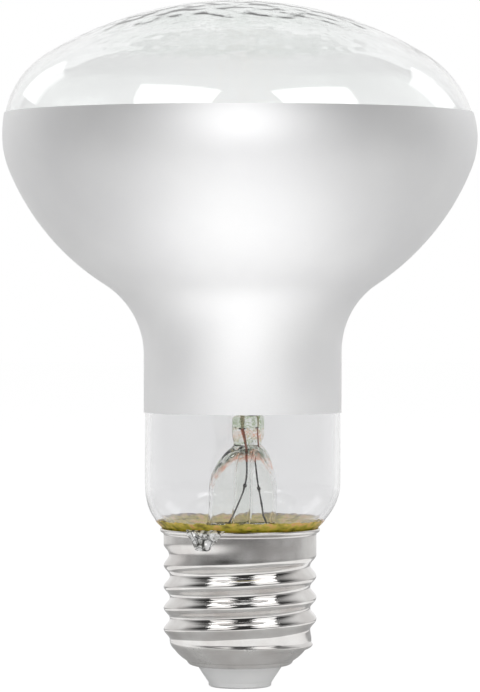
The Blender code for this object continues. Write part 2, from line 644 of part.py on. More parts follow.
def make_bridges():
    """Two wires at the top, each from one filament past the bead of the post to the next filament."""
    bead_side = POST_BEAD_RADIUS + CLEARANCE + INNER_LEAD_RADIUS
    for number, middle in ((1, math.pi / 2), (2, -math.pi / 2)):
        route = [
            around(CROWN.x, middle - math.pi / 4, CROWN_WIRE_HEIGHT),
            around(bead_side, middle - math.pi / 12, CROWN_WIRE_HEIGHT),
            around(bead_side, middle + math.pi / 12, CROWN_WIRE_HEIGHT),
            around(CROWN.x, middle + math.pi / 4, CROWN_WIRE_HEIGHT),
        ]
        wire(f"top_bridge_wire_{number}", route, INNER_LEAD_RADIUS, lead_metal(), inner_frame)


def on_board(place_shares):
    """A place on the board, as the distance from its middle and the height."""
    return (place_shares[0] * BOARD_WIDTH, BOARD_FOOT + place_shares[1] * BOARD_HEIGHT)


def make_driver():
    """The board stands in a slot of the insulator with the driver's parts on both faces."""
    board_size = (BOARD_WIDTH, BOARD_THICKNESS, BOARD_HEIGHT)
    board_place = (0, BOARD_SETBACK, BOARD_FOOT + BOARD_HEIGHT / 2)
    fibre = material("circuit_board", (0.1, 0.32, 0.16), 0.5)
    block("driver_board", board_size, board_place, fibre, 0, inner_frame)

    black = material("moulded_black", (0.03, 0.03, 0.03), 0.45)
    chips = [("bridge_rectifier", BRIDGE_SIZE, BRIDGE_PLACE_SHARES)]
    chips.append(("driver_ic", DRIVER_IC_SIZE, DRIVER_IC_PLACE_SHARES))
    chips += [(f"chip_resistor_{i + 1}", CHIP_SIZE, shares) for i, shares in enumerate(CHIP_PLACE_SHARES)]
    for name, size, shares in chips:
        across, height = on_board(shares)
        place = (across, BOARD_BACK + CLEARANCE + size[1] / 2, height)
        block(name, size, place, black, CHIP_EDGE, inner_frame)

    sleeve = material("capacitor_sleeve", (0.12, 0.12, 0.14), 0.4)
    across, foot = on_board(CAPACITOR_PLACE_SHARES)
    place = (across, BOARD_FRONT - CLEARANCE - CAPACITOR_RADIUS)
    drum("smoothing_capacitor", CAPACITOR_RADIUS, foot, CAPACITOR_LENGTH, CAPACITOR_EDGE, place, sleeve,
         inner_frame)

    body = material("resistor_body", (0.35, 0.52, 0.6), 0.5)
    across, foot = on_board(FUSE_PLACE_SHARES)
    place = (across, BOARD_FRONT - CLEARANCE - FUSE_RADIUS)
    drum("fusible_resistor", FUSE_RADIUS, foot, FUSE_LENGTH, FUSE_EDGE, place, body, inner_frame)


def make_wires():
    """The feed from the contact to the fusible resistor, and the return wire up to the solder."""
    sleeve = material("wire_sleeve", (0.75, 0.74, 0.7), 0.5)
    fuse_side, fuse_foot = on_board(FUSE_PLACE_SHARES)
    fuse_front = BOARD_FRONT - CLEARANCE - FUSE_RADIUS
    feed_height = FLANGE_TOP + RIVET_STAND + CLEARANCE + WIRE_RADIUS
    feed = [(0, 0, feed_height), (fuse_side + FUSE_RADIUS, fuse_front / 2, feed_height)]
    feed.append((fuse_side, fuse_front, feed_height + WIRE_RADIUS))
    feed.append((fuse_side, fuse_front, fuse_foot - CLEARANCE))
    wire("centre_wire", feed, WIRE_RADIUS, sleeve, inner_frame)

    angle = SOLDER_ANGLE - STEM_TURN
    climb = CREST_RADIUS - SHELL_WALL - 2 * CLEARANCE - RETURN_WIRE_INSET
    side = BOARD_WIDTH / 2 + CLEARANCE + WIRE_RADIUS
    notch_height = RIM_HEIGHT - LEAD_NOTCH_DEPTH + CLEARANCE + WIRE_RADIUS
    bend = (BOARD_TOP + THREAD_HEAD) / 2
    lead_back = [(-side, BOARD_SETBACK, BOARD_TOP - BOARD_HEIGHT / 4), (-side, BOARD_SETBACK, BOARD_TOP)]
    lead_back += [around(climb, angle, bend), around(climb, angle, notch_height)]
    lead_back.append(around(CREST_RADIUS, angle, notch_height))
    wire("neutral_wire", lead_back, WIRE_RADIUS, sleeve, inner_frame)


for old in list(bpy.data.objects):
    bpy.data.objects.remove(old, do_unlink=True)
lamp = bpy.data.collections.new("led_grow_lamp")
cutters = bpy.data.collections.new("cutters")
bpy.context.scene.collection.children.link(lamp)
bpy.context.scene.collection.children.link(cutters)
inner_frame = bpy.data.objects.new("inner_frame", None)
inner_frame.rotation_euler.z = STEM_TURN
lamp.objects.link(inner_frame)

make_bulb()
make_cap_shell()
make_cement()
make_insulator()
make_contact()
make_solder()
make_stem()
make_exhaust_tube()
make_post()
make_leads()
make_filaments()
make_bridges()
make_driver()
make_wires()
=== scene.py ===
"""Looks of the LED grow lamp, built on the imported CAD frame: blown glass, satin metallised band,
glass stem with its leads, rolled screw cap, and a plain white studio.

Metres, in the frame of the CAD: +Z up through the dome, -Y towards the camera, origin under the cap.
Outlines are lists of (radius, height) points in the turning plane, from the top down the outer side."""

import math

import bmesh
import bpy
from mathutils import Matrix, Vector, noise


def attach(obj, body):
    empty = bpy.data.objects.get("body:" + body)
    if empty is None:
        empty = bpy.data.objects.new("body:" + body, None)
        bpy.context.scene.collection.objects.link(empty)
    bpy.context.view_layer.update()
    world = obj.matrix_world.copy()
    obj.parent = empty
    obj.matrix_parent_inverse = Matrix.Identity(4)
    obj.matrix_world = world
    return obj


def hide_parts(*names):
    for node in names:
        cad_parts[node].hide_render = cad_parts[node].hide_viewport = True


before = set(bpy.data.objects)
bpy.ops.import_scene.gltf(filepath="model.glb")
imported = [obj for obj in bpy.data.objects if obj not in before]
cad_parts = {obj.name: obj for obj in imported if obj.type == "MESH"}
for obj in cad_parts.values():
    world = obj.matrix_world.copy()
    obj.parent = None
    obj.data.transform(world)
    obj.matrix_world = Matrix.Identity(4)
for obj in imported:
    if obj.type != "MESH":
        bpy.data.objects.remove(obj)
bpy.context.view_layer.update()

MM = 0.001
BODY = "root"

# Camera and studio
CAMERA_DISTANCE = 693 * MM
CAMERA_HEIGHT = 67.9 * MM
LENS = 212
SENSOR = 36
PHOTO_HEIGHT = 692
EYE_LEVEL_ROW = 287
BOUNCES = 32
SOFTBOX_DISTANCE = 1000 * MM
SOFTBOX_WIDTH = 630 * MM
SOFTBOX_HEIGHT = 540 * MM
SOFTBOX_TURNS = (math.radians(-35), math.radians(44))
SOFTBOX_RISE = math.radians(35)
SOFTBOX_RADIANCE = 3.6
STRIP_DISTANCE = 900 * MM
STRIP_WIDTH = 180 * MM
STRIP_HEIGHT = 600 * MM
STRIP_RISES = (math.radians(15), math.radians(50))
STRIP_RADIANCES = (13.7, 1.2)
BACK_LIGHT_TURNS = (math.radians(-132), math.radians(128))
BACK_LIGHT_RISE = math.radians(28)
BACK_LIGHT_SIZE = 360 * MM
BACK_LIGHT_RADIANCE = 1.1
LOW_STRIP_START = 18 * MM
LOW_STRIP_END = 140 * MM
LOW_STRIP_WIDTH = 110 * MM
LOW_STRIP_HEIGHT = 2 * MM
LOW_STRIP_RADIANCE = 0.95
CAP_SOFTBOX_HEIGHT = 760 * MM
CAP_SOFTBOX_RADIANCE = 1.4
CAP_LIGHT_TURNS = (math.radians(-62), math.radians(62))
CAP_LIGHT_RISE = math.radians(70)
CAP_LIGHT_WIDTH = 460 * MM
CAP_LIGHT_HEIGHT = 500 * MM
CAP_LIGHT_RADIANCE = 3.4
CAP_FLOOR_INNER = 28 * MM
CAP_FLOOR_OUTER = 130 * MM
CAP_FLOOR_RADIANCE = 0.65
AMBIENT_STRENGTH = 0.3
SIDE_STRENGTH = 0.52
FRONT_STRENGTH = 0.06
FRONT_CEILING_STRENGTH = 0.04
BACK_CEILING_STRENGTH = 1.0
THROUGH_GLASS_STRENGTH = 0.8
FLOOR_NEAR = 140 * MM
FLOOR_FAR = 440 * MM
FLOOR_RADIUS = 3000 * MM
FLOOR_ALBEDO = 0.8
FLOOR_SEEN_ALBEDO = 0.12
FLOOR_GLOW = 0.96

# Glass bulb
HEAD_RADIUS = 40.2 * MM
HEAD_HEIGHT = 93.4 * MM
DOME_RISE = 23.2 * MM
SHOULDER_RADIUS = 16.4 * MM
BELLY_RADIUS = 14.4 * MM
BELLY_TURN = math.radians(22)
FLANK_TURN = math.radians(57)
BLEND_RADIUS = 14.1 * MM
NECK_RADIUS = 16.65 * MM
SEAL_RADIUS = 9.68 * MM
HEEL_TURN = math.radians(75)
HEEL_HEIGHT = 34.36 * MM
GLASS_WALL = 0.9 * MM
RIPPLE_SIZE = 14 * MM
RIPPLE_HEIGHT = 0.04 * MM
CROWN_SWAY = -0.75 * MM
CROWN_SWAY_FOOT = 92 * MM
CROWN_SWAY_TOP = 108 * MM
NECK_SWAY = 0.45 * MM
NECK_SWAY_FOOT = 27 * MM
NECK_SWAY_LOW = 34 * MM
NECK_SWAY_HIGH = 55 * MM
NECK_SWAY_TOP = 75 * MM
CROWN_RIPPLE_SIZE = 2.6 * MM
CROWN_RIPPLE_HEIGHT = 0.02 * MM
CROWN_RIPPLE_START = 108 * MM
CROWN_RIPPLE_END = 115 * MM
CROWN_EDGE_FOOT = 109.8 * MM
CROWN_EDGE_TOP = 111.6 * MM
SCALE_SIZE = 2.6 * MM
SCALE_HEIGHT = 0.1 * MM

# Metallised band
BAND_TOP = 97.4 * MM
BAND_FOOT = 46.6 * MM
COATING_GAP = 0.08 * MM
COATING_WALL = 0.12 * MM
NECK_FINISH_TOP = 66 * MM
NECK_EXTRA_ROUGHNESS = 0.22

# Screw cap
CREST_RADIUS = 13.0 * MM
THREAD_DEPTH = 1.05 * MM
THREAD_PITCH = 25.4 * MM / 7
THREAD_FOOT = 7.7 * MM
THREAD_TURNS = 4.567
THREAD_HEAD = THREAD_FOOT + THREAD_TURNS * THREAD_PITCH
RUNOUT_START_SHARE = 0.07
RUNOUT_END_SHARE = 0.27
GROW_SHARE = 0.25
RUNOUT_HEIGHT = 22.2 * MM
RIDGE_DEPTH = 1.4 * MM
RIDGE_HEIGHT = 0.75 * MM
RIDGE_MEAN_SHARE = 0.6
SATIN_ROUGHNESS = 0.13
RIM_HEIGHT = 27.0 * MM
RIM_RADIUS = 13.62 * MM
RIM_BEAD = 0.32 * MM
RIM_BEAD_ANGLES = (math.radians(108), math.radians(-36))
RIM_NECK = 0.75 * MM
SHELL_WALL = 0.25 * MM
CONE_FOOT_RADIUS = 9.0 * MM
CONE_FOOT_HEIGHT = 4.4 * MM
CONE_BULGE = 0.25 * MM
SHELL_HOLE_RADIUS = 7.6 * MM
SHELL_HOLE_HEIGHT = 3.6 * MM

# Cement between the heel of the glass and the rim of the cap
CEMENT_RADIUS = 12.7 * MM
CEMENT_RIM_RADIUS = 13.3 * MM
CEMENT_FOOT = 24.3 * MM
CEMENT_LIP_DEPTH = 0.6 * MM
CEMENT_BITE = 0.03 * MM
CEMENT_RAGGEDNESS = 0.3 * MM
CEMENT_CLIMB = 1.15 * MM
CEMENT_SWELL = 0.25 * MM
CEMENT_SKIN = 0.14 * MM
CEMENT_RAG_SIZE = 2.2 * MM
CEMENT_FINE_RAG_SIZE = CEMENT_RAG_SIZE / 3
CEMENT_FINE_RAG_SHARE = 0.7

# Solder on the rim
SOLDER_ANGLE = math.radians(-116.6)
SOLDER_TOP_WIDTH = 7.4 * MM
SOLDER_FOOT_WIDTH = 2.4 * MM
SOLDER_TOP = 27.35 * MM
SOLDER_FOOT = 23.7 * MM
SOLDER_THICKNESS = 0.75 * MM
SOLDER_EDGE = 0.12 * MM
SOLDER_LEAN = -1.2 * MM
SOLDER_ROWS = 7
SOLDER_COLUMNS = 12
SOLDER_STRAY_PITCH = 1.37
SOLDER_STRAY_SHARE = 0.75
SOLDER_SEED = 2
SOLDER_CRUMPLE_SHARE = 1.5
SOLDER_SHINE = 0.45
SOLDER_CREASE_SHADE_PITCH = 1.5 * MM

# Plastic foot and centre contact
FOOT_TOP_RADIUS = 7.4 * MM
FOOT_TOP = 3.8 * MM
FOOT_SIDE_FOOT_RADIUS = 5.35 * MM
FOOT_ROUND = 0.75 * MM
FLANGE_RADIUS = 9.1 * MM
FLANGE_FOOT = 5.2 * MM
FLANGE_TOP = 7.4 * MM
CONTACT_RADIUS = 3.6 * MM
CONTACT_POCKET = 1.0 * MM
CONTACT_RISE = 0.25 * MM
CONTACT_RING_SHARE = 0.72
CONTACT_RING_WIDTH_SHARE = 0.1
CONTACT_BEAD_SHARES = (0.15, 0.45)
RIVET_RADIUS = 0.9 * MM
RIVET_TOP = 7.9 * MM

# Stem, in its own frame: its leads stand apart along X
STEM_TURN = math.radians(65)
PRESS_TOP = 46.2 * MM
PRESS_FOOT = 42.2 * MM
PRESS_HALF_WIDTH = 4.5 * MM
PRESS_HALF_THICKNESS = 1.6 * MM
PRESS_ROUND = 0.9 * MM
PRESS_SQUARENESS = 1.7
SHOULDER_FOOT = 33.0 * MM
SHOULDER_RISE = 8.3 * MM
TUBE_RADIUS = 5.8 * MM
TUBE_FOOT = 27.6 * MM
FLARE_RADIUS = 9.15 * MM
FLARE_HEIGHT = 25.98 * MM
FLARE_FOOT = 25.3 * MM
STEM_WALL = 0.65 * MM
HOLLOW_TOP = 40.1 * MM
HOLLOW_SHOULDER = 33.8 * MM
STEM_BEND = 1.18
ARCH_TOP = 39.7 * MM
ARCH_DROP = 2.4 * MM
ARCH_HALF_WIDTH = 4.6 * MM
ARCH_WAVER = 0.7 * MM
REFLECTION_STROKE_PITCH = 0.62 * MM
EXHAUST_RADIUS = 1.7 * MM
EXHAUST_WALL = 0.5 * MM
EXHAUST_TOP = 40.8 * MM
EXHAUST_TIP = 22.1 * MM
POST_RADIUS = 1.3 * MM
POST_FOOT = 46.0 * MM
POST_FLARE_RISE = 1.4 * MM
POST_MIDDLE_RADIUS = POST_RADIUS * 1.15
POST_FOOT_RADIUS = POST_RADIUS * 1.5
POST_BEAD_RADIUS = 2.4 * MM
TUBE_SHIFT = 0.5 * MM
SHIFT_FOOT = 26 * MM
SHIFT_TOP = 31 * MM
PRESS_SHIFT = 0.9 * MM
LEAN_FOOT = 35 * MM
LEAN_TOP = 43 * MM

# Leads
LEAD_SPREAD = 2.5 * MM
LEAD_RADIUS = 0.3 * MM
DUMET_RADIUS = 0.2 * MM
STRAND_RADIUS = 0.09 * MM
STRAND_PITCH = 1.1 * MM
KNOT_RADIUS = 0.34 * MM
WELD_RADIUS = 0.17 * MM
KNOT_LENGTH = 0.9 * MM
KNOT_END_SHARE = 0.2
KNOT_BLUNTNESS = 0.6
WELD_WAY = Vector((1, 0.3, 0))
LEAD_LEVELS = (43.9 * MM, 38.4 * MM, 34.2 * MM, 29.0 * MM, 25.4 * MM)
LEAD_MIDDLES = (1.25 * MM, 2.0 * MM, 2.0 * MM, 1.4 * MM, 0.75 * MM)
LEAD_SPREADS = (0.95 * MM, 0.83 * MM, 1.18 * MM, 2.6 * MM, 3.8 * MM)
LEAD_DEPTH = 2.2 * MM
LEAD_END_SPREAD = 3.4 * MM
BOARD_SETBACK = 3.0 * MM
LEAD_FOOT = 20.4 * MM
LEAD_TAPER_SHARES = (-0.1, 0.12)

# Filaments and what carries them
RING_RADIUS = 10.0 * MM
RING_HEIGHT = 51.6 * MM
RING_PLACES = 6
LEAD_TURN_RADIUS = RING_RADIUS * 0.8
LEAD_RISE = 2.2 * MM
CROWN_RADIUS = 5.4 * MM
CROWN_HEIGHT = 91.0 * MM
FILAMENTS = 4
FILAMENT_LENGTH = 33.0 * MM
FILAMENT_WIDTH = 1.8 * MM
FILAMENT_THICKNESS = 1.2 * MM
PIN_LENGTH = 2.6 * MM
PIN_WIDTH = 0.9 * MM
PIN_THICKNESS = 0.3 * MM
PIN_GAP = 0.3 * MM
PIN_TAPER_SHARE = 0.25
FILAMENT_END_SHARE = 0.35
STRAP_SQUARENESS = 1.6
CHIP_PITCH = 1.15 * MM
CHIP_BULGE = 0.035 * MM

# Steps of the meshes
FLOOR_STEPS = 96
BULB_STEPS = 192
CAP_STEPS = 180
STEM_STEPS = 72
SMALL_STEPS = 48
DOME_STEPS = 40
CURVE_STEPS = 24
NECK_STEPS = 20
BLEND_STEPS = 18
BELLY_STEPS = 10
BEAD_STEPS = 10
BEND_STEPS = 6
CONE_STEPS = 32
FILAMENT_ROWS = 260
RING_STEPS = 8
STRAND_STEPS = 8
LEAD_STEPS = 24
KNOT_STEPS = (48, 51)
WIRE_STEPS = 12
THREAD_ROW = 0.13 * MM
MERGE_DISTANCE = 0.0005 * MM
SMOOTH_LIMIT = math.radians(40)

# Worked out from the sizes above
HEEL_RADIUS = (NECK_RADIUS - SEAL_RADIUS) / (1 - math.cos(HEEL_TURN))
HEEL_CENTRE = NECK_RADIUS - HEEL_RADIUS
FILAMENT_REACH = FILAMENT_LENGTH + 2 * PIN_LENGTH + 2 * PIN_GAP
FILAMENT_LEAN = math.asin((RING_RADIUS - CROWN_RADIUS) / FILAMENT_REACH)
LAMP_MIDDLE = Vector((0, 0, HEAD_HEIGHT / 2))


# Geometry helpers

def arc(centre, radius, start, end, pieces):
    """Points on an arc in the turning plane; its angles are measured from +X."""
    angles = [start + (end - start) * i / pieces for i in range(pieces + 1)]
    return [(centre[0] + radius * math.cos(a), centre[1] + radius * math.sin(a)) for a in angles]


def straight(start, end, pieces):
    """Points on a straight line, after its start and up to its end."""
    shares = [i / pieces for i in range(1, pieces + 1)]
    return [(start[0] + (end[0] - start[0]) * s, start[1] + (end[1] - start[1]) * s) for s in shares]


def around(radius, angle, height):
    return Vector((radius * math.cos(angle), radius * math.sin(angle), height))


def fade(value, start, end):
    """One at the start and nought at the end, smoothly."""
    share = min(max((value - start) / (end - start), 0), 1)
    return 1 - share * share * (3 - 2 * share)


def offset_outline(points, distance):
    """The outline moved outward by a distance."""
    moved = []
    for i, (radius, height) in enumerate(points):
        before = Vector(points[max(i - 1, 0)])
        after = Vector(points[min(i + 1, len(points) - 1)])
        along = (after - before).normalized()
        moved.append((max(radius - along.y * distance, 0), height + along.x * distance))
    return moved


def cut_outline(points, top, foot):
    """The part of an outline between two heights."""
    kept = []
    for (r1, z1), (r2, z2) in zip(points, points[1:]):
        for level in (top, foot):
            if z1 > level > z2:
                kept.append((r1 + (r2 - r1) * (z1 - level) / (z1 - z2), level))
        if top > z2 > foot:
            kept.append((r2, z2))
    return kept


def added(name, data):
    """A new object in the scene."""
    made = bpy.data.objects.new(name, data)
    bpy.context.scene.collection.objects.link(made)
    return made


def finished(name, mesh, finishes, replaced):
    """Adds a mesh as a piece that rides on the lamp in place of CAD shapes."""
    for finish in finishes:
        mesh.materials.append(finish)
    piece = added(name, mesh)
    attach(piece, BODY)
    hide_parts(*replaced)
    return piece


def worked(mesh, sources, work=None):
    """Fills a mesh from others or from itself, with work on the whole of them."""
    shape = bmesh.new()
    for source in sources:
        shape.from_mesh(source)
    if work:
        work(shape)
    shape.to_mesh(mesh)
    shape.free()
    return mesh


def smoothed(mesh):
    mesh.shade_smooth()
    mesh.set_sharp_from_angle(angle=SMOOTH_LIMIT)
    return mesh


def ring_mesh(name, rings, closed=False, capped=False):
    """A mesh through rings of equal length; closed joins the last ring to the first."""
    steps = len(rings[0])
    points = [point for ring in rings for point in ring]
    faces = []
    for row in range(len(rings) if closed else len(rings) - 1):
        below = (row + 1) % len(rings)
        for i in range(steps):
            j = (i + 1) % steps
            faces.append((row * steps + i, below * steps + i, below * steps + j, row * steps + j))
    if capped:
        faces.append(tuple(range(steps)))
        faces.append(tuple(reversed(range(len(points) - steps, len(points)))))
    mesh = bpy.data.meshes.new(name)
    mesh.from_pydata(points, [], faces)

    def merge(shape):
        bmesh.ops.remove_doubles(shape, verts=shape.verts, dist=MERGE_DISTANCE)

    return smoothed(worked(mesh, [mesh], merge))


def turned_mesh(name, outline, steps, closed=False, place=around):
    """A mesh turned about Z; place puts a (radius, angle, height) into space."""
    turns = [math.tau * i / steps for i in range(steps)]
    rings = [[place(radius, turn, height) for turn in turns] for radius, height in outline]
    return ring_mesh(name, rings, closed)


def along_route(places, pieces):
    """A smooth line of points through the places given, with several pieces between each two."""
    line = []
    for i in range(len(places) - 1):
        start = Vector(places[i])
        end = Vector(places[i + 1])
        way_in = (end - Vector(places[max(i - 1, 0)])) / 2
        way_out = (Vector(places[min(i + 2, len(places) - 1)]) - start) / 2
        for step in range(pieces):
            t = step / pieces
            point = start * (2 * t**3 - 3 * t**2 + 1) + way_in * (t**3 - 2 * t**2 + t)
            line.append(point + end * (3 * t**2 - 2 * t**3) + way_out * (t**3 - t**2))
    line.append(Vector(places[-1]))
    return line


def sides_of(line):
    """Two directions square to the line at each of its points, turning as little as they can."""
    found = []
    normal = None
    for i in range(len(line)):
        way = (line[min(i + 1, len(line) - 1)] - line[max(i - 1, 0)]).normalized()
        if normal is None:
            normal = way.orthogonal()
        normal = (normal - way * normal.dot(way)).normalized()
        found.append((normal, normal.cross(way)))
    return found


def tube_mesh(name, line, radius, steps=WIRE_STEPS):
    """A round wire along a line; radius is a length, or a function of the share of the way along."""
    rings = []
    turns = [math.tau * k / steps for k in range(steps)]
    for i, (centre, (across, aside)) in enumerate(zip(line, sides_of(line))):
        size = radius(i / (len(line) - 1)) if callable(radius) else radius
        rings.append([centre + (across * math.cos(a) + aside * math.sin(a)) * size for a in turns])
    return ring_mesh(name, rings, capped=True)


def squared(value, squareness):
    return math.copysign(abs(value) ** (1 / squareness), value)


def mounted(point):
    """A point of the mount in the lamp: turned with the stem, and leaning a little as the stem does."""
    turned = Matrix.Rotation(STEM_TURN, 3, "Z") @ Vector(point)
    lean = TUBE_SHIFT * (1 - fade(turned.z, SHIFT_FOOT, SHIFT_TOP))
    lean += PRESS_SHIFT * (1 - fade(turned.z, LEAN_FOOT, LEAN_TOP))
    return turned + Vector((lean, 0, 0))


def mounted_place(radius, angle, height):
    return mounted(around(radius, angle, height))


def oval(half_width, half_thickness, height, squareness):
    """A level ring of the mount, an ellipse at squareness 1 and a box with round corners above it."""
    ring = []
    for i in range(STEM_STEPS):
        angle = math.tau * i / STEM_STEPS
        across = half_width * squared(math.cos(angle), squareness)
        aside = half_thickness * squared(math.sin(angle), squareness)
        ring.append(mounted((across, aside, height)))
    return ring


# Node and material helpers

def linked(look, kind, values, output=0, **settings):
    """A new node of a material or of the world, its inputs set to values or fed from outputs.
    Gives back one of its outputs."""
    node = look.node_tree.nodes.new(kind)
    for name, setting in settings.items():
        setattr(node, name, setting)
    for socket, value in values.items():
        if isinstance(value, bpy.types.NodeSocket):
            look.node_tree.links.new(value, node.inputs[socket])
        else:
            node.inputs[socket].default_value = value
    return node.outputs[output]


def new_finish(name, colour, roughness, metallic=0.0):
    finish = bpy.data.materials.new(name)
    finish.use_nodes = True
    shader = shader_of(finish)
    shader.inputs["Base Color"].default_value = (*colour, 1)
    shader.inputs["Roughness"].default_value = roughness
    shader.inputs["Metallic"].default_value = metallic
    return finish


def shader_of(finish):
    return finish.node_tree.nodes["Principled BSDF"]


def object_place(finish):
    return linked(finish, "ShaderNodeTexCoord", {}, "Object")


def parts_of(look, place):
    """The X, Y and Z of a place, as outputs."""
    return linked(look, "ShaderNodeSeparateXYZ", {"Vector": place}).node.outputs


def spots(finish, size, detail=3.0, stretch=(1, 1, 1)):
    """Noise whose features are about the size given; a stretch under 1 draws them out that way."""
    scales = [share / size for share in stretch]
    place = linked(finish, "ShaderNodeMapping", {"Vector": object_place(finish), "Scale": scales})
    return linked(finish, "ShaderNodeTexNoise", {"Vector": place, "Scale": 1, "Detail": detail}, "Fac")


def cells(finish, size, feature):
    """Distance from the middles or from the borders of cells about the size given."""
    values = {"Vector": object_place(finish), "Scale": 1 / size}
    return linked(finish, "ShaderNodeTexVoronoi", values, "Distance", feature=feature)


def between(look, source, low, high, new_low, new_high):
    """The source's range from low to high carried over to new_low and new_high."""
    values = {"Value": source, "From Min": low, "From Max": high, "To Min": new_low, "To Max": new_high}
    return linked(look, "ShaderNodeMapRange", values, "Result")


def height_share(finish, foot, top):
    """Nought at the foot and one at the top, by height."""
    return between(finish, parts_of(finish, object_place(finish))["Z"], foot, top, 0, 1)


def combined(look, operation, *values):
    """Outputs and numbers put together by a sum."""
    return linked(look, "ShaderNodeMath", dict(enumerate(values)), operation=operation)


def colour_ramp(look, source, *stops, ease="LINEAR"):
    """A colour for each value of the source; stops are (place, colour) or (place, grey level)."""
    ramp = linked(look, "ShaderNodeValToRGB", {"Fac": source}, "Color").node
    ramp.color_ramp.interpolation = ease
    elements = ramp.color_ramp.elements
    while len(elements) < len(stops):
        elements.new(0.5)
    for element, (place, colour) in zip(elements, stops):
        element.position = place
        element.color = (*colour, 1) if isinstance(colour, tuple) else (colour, colour, colour, 1)
    return ramp.outputs["Color"]


def mixed_colour(finish, share, first, second, blend="MIX"):
    """Two colours mixed by a share; the node's inputs 6 and 7 and its output 2 are colours."""
    values = {0: share, 6: first, 7: second}
    return linked(finish, "ShaderNodeMix", values, 2, data_type="RGBA", blend_type=blend)


def feed(finish, source, socket):
    finish.node_tree.links.new(source, shader_of(finish).inputs[socket])


def tint(finish, source, *stops):
    """Makes the colour follow the source."""
    feed(finish, colour_ramp(finish, source, *stops), "Base Color")


def roughen(finish, source, low, high, low_roughness, high_roughness):
    """Makes the roughness follow the source."""
    feed(finish, between(finish, source, low, high, low_roughness, high_roughness), "Roughness")


def fed(finish, socket):
    """What already feeds a socket of the shader."""
    return shader_of(finish).inputs[socket].links[0].from_socket


def show(look, surface):
    look.node_tree.links.new(surface, look.node_tree.nodes["Material Output"].inputs["Surface"])


def bump(finish, source, height, before=None):
    """Raises the surface by the source; before is the normal of another bump under it."""
    values = {"Height": source, "Distance": height}
    if before:
        values["Normal"] = before
    feed(finish, linked(finish, "ShaderNodeBump", values), "Normal")


def let_lamps_through(finish, colour):
    """Lets rays from the lamps pass, so that what is behind the glass is lit."""
    shadow = linked(finish, "ShaderNodeLightPath", {}, "Is Shadow Ray")
    clear = linked(finish, "ShaderNodeBsdfTransparent", {"Color": (*colour, 1)})
    glass = shader_of(finish).outputs["BSDF"]
    show(finish, linked(finish, "ShaderNodeMixShader", {0: shadow, 1: glass, 2: clear}))


def glass_finish(name, colour, second_colour, streak_size, ripple_size, ripple_height, bend=1.5):
    """Clear glass with faint streaks of another tint, smudges and a gentle ripple."""
    finish = new_finish(name, colour, 0.0)
    shader = shader_of(finish)
    shader.inputs["IOR"].default_value = bend
    shader.inputs["Transmission Weight"].default_value = 1.0
    streaks = spots(finish, streak_size, 2.0, (1, 1, 0.4))
    tint(finish, streaks, (0.35, colour), (0.7, second_colour))
    roughen(finish, spots(finish, 6 * MM, 4.0), 0.45, 0.75, 0.0, 0.03)
    bump(finish, spots(finish, ripple_size, 1.0), ripple_height)
    let_lamps_through(finish, (0.96, 0.97, 0.96))
    return finish


def metal_finish(name, dark, light, low_roughness, high_roughness, grain_size, grain_height):
    """Plated metal with cloudy patches, fine pits and a roughness that varies with both."""
    finish = new_finish(name, light, low_roughness, 1.0)
    clouds = spots(finish, 5 * MM, 4.0)
    grain = spots(finish, grain_size, 2.0)
    tint(finish, clouds, (0.35, dark), (0.65, light))
    worn = combined(finish, "MULTIPLY_ADD", clouds, 0.7, combined(finish, "MULTIPLY", grain, 0.3))
    roughen(finish, worn, 0.35, 0.65, low_roughness, high_roughness)
    bump(finish, grain, grain_height)
    return finish


def plain_finish(name, dark, light, low_roughness, high_roughness, grain_size, grain_height):
    """Plastic, paint or card with slight mottling and grain."""
    finish = metal_finish(name, dark, light, low_roughness, high_roughness, grain_size, grain_height)
    shader_of(finish).inputs["Metallic"].default_value = 0.0
    return finish


# Glass bulb and its band

def bulb_outline():
    """Dome, shoulder, belly, flank, neck and heel, each tangent to the next."""
    shoulder_centre = HEAD_RADIUS - SHOULDER_RADIUS
    dome_radius = shoulder_centre**2 + DOME_RISE**2 - SHOULDER_RADIUS**2
    dome_radius /= 2 * (DOME_RISE - SHOULDER_RADIUS)
    dome_centre = HEAD_HEIGHT + DOME_RISE - dome_radius
    meeting = math.atan2(HEAD_HEIGHT - dome_centre, shoulder_centre)
    points = arc((0, dome_centre), dome_radius, math.pi / 2, meeting, DOME_STEPS)
    points += arc((shoulder_centre, HEAD_HEIGHT), SHOULDER_RADIUS, meeting, 0, CURVE_STEPS)[1:]

    belly_centre = HEAD_RADIUS - BELLY_RADIUS
    points += arc((belly_centre, HEAD_HEIGHT), BELLY_RADIUS, 0, -BELLY_TURN, BELLY_STEPS)[1:]

    drop = HEAD_RADIUS - NECK_RADIUS
    drop -= BELLY_RADIUS * (1 - math.cos(BELLY_TURN)) + BLEND_RADIUS * (1 - math.cos(FLANK_TURN))
    flank_radius = drop / (math.cos(BELLY_TURN) - math.cos(FLANK_TURN))
    flank_centre = (belly_centre - (flank_radius - BELLY_RADIUS) * math.cos(BELLY_TURN),
                    HEAD_HEIGHT + (flank_radius - BELLY_RADIUS) * math.sin(BELLY_TURN))
    points += arc(flank_centre, flank_radius, -BELLY_TURN, -FLANK_TURN, CURVE_STEPS)[1:]

    neck_top = flank_centre[1] - (flank_radius + BLEND_RADIUS) * math.sin(FLANK_TURN)
    blend_centre = (NECK_RADIUS + BLEND_RADIUS, neck_top)
    points += arc(blend_centre, BLEND_RADIUS, math.pi - FLANK_TURN, math.pi, BLEND_STEPS)[1:]
    points += straight((NECK_RADIUS, neck_top), (NECK_RADIUS, HEEL_HEIGHT), NECK_STEPS)[:-1]
    return points + arc((HEEL_CENTRE, HEEL_HEIGHT), HEEL_RADIUS, 0, -HEEL_TURN, CURVE_STEPS)


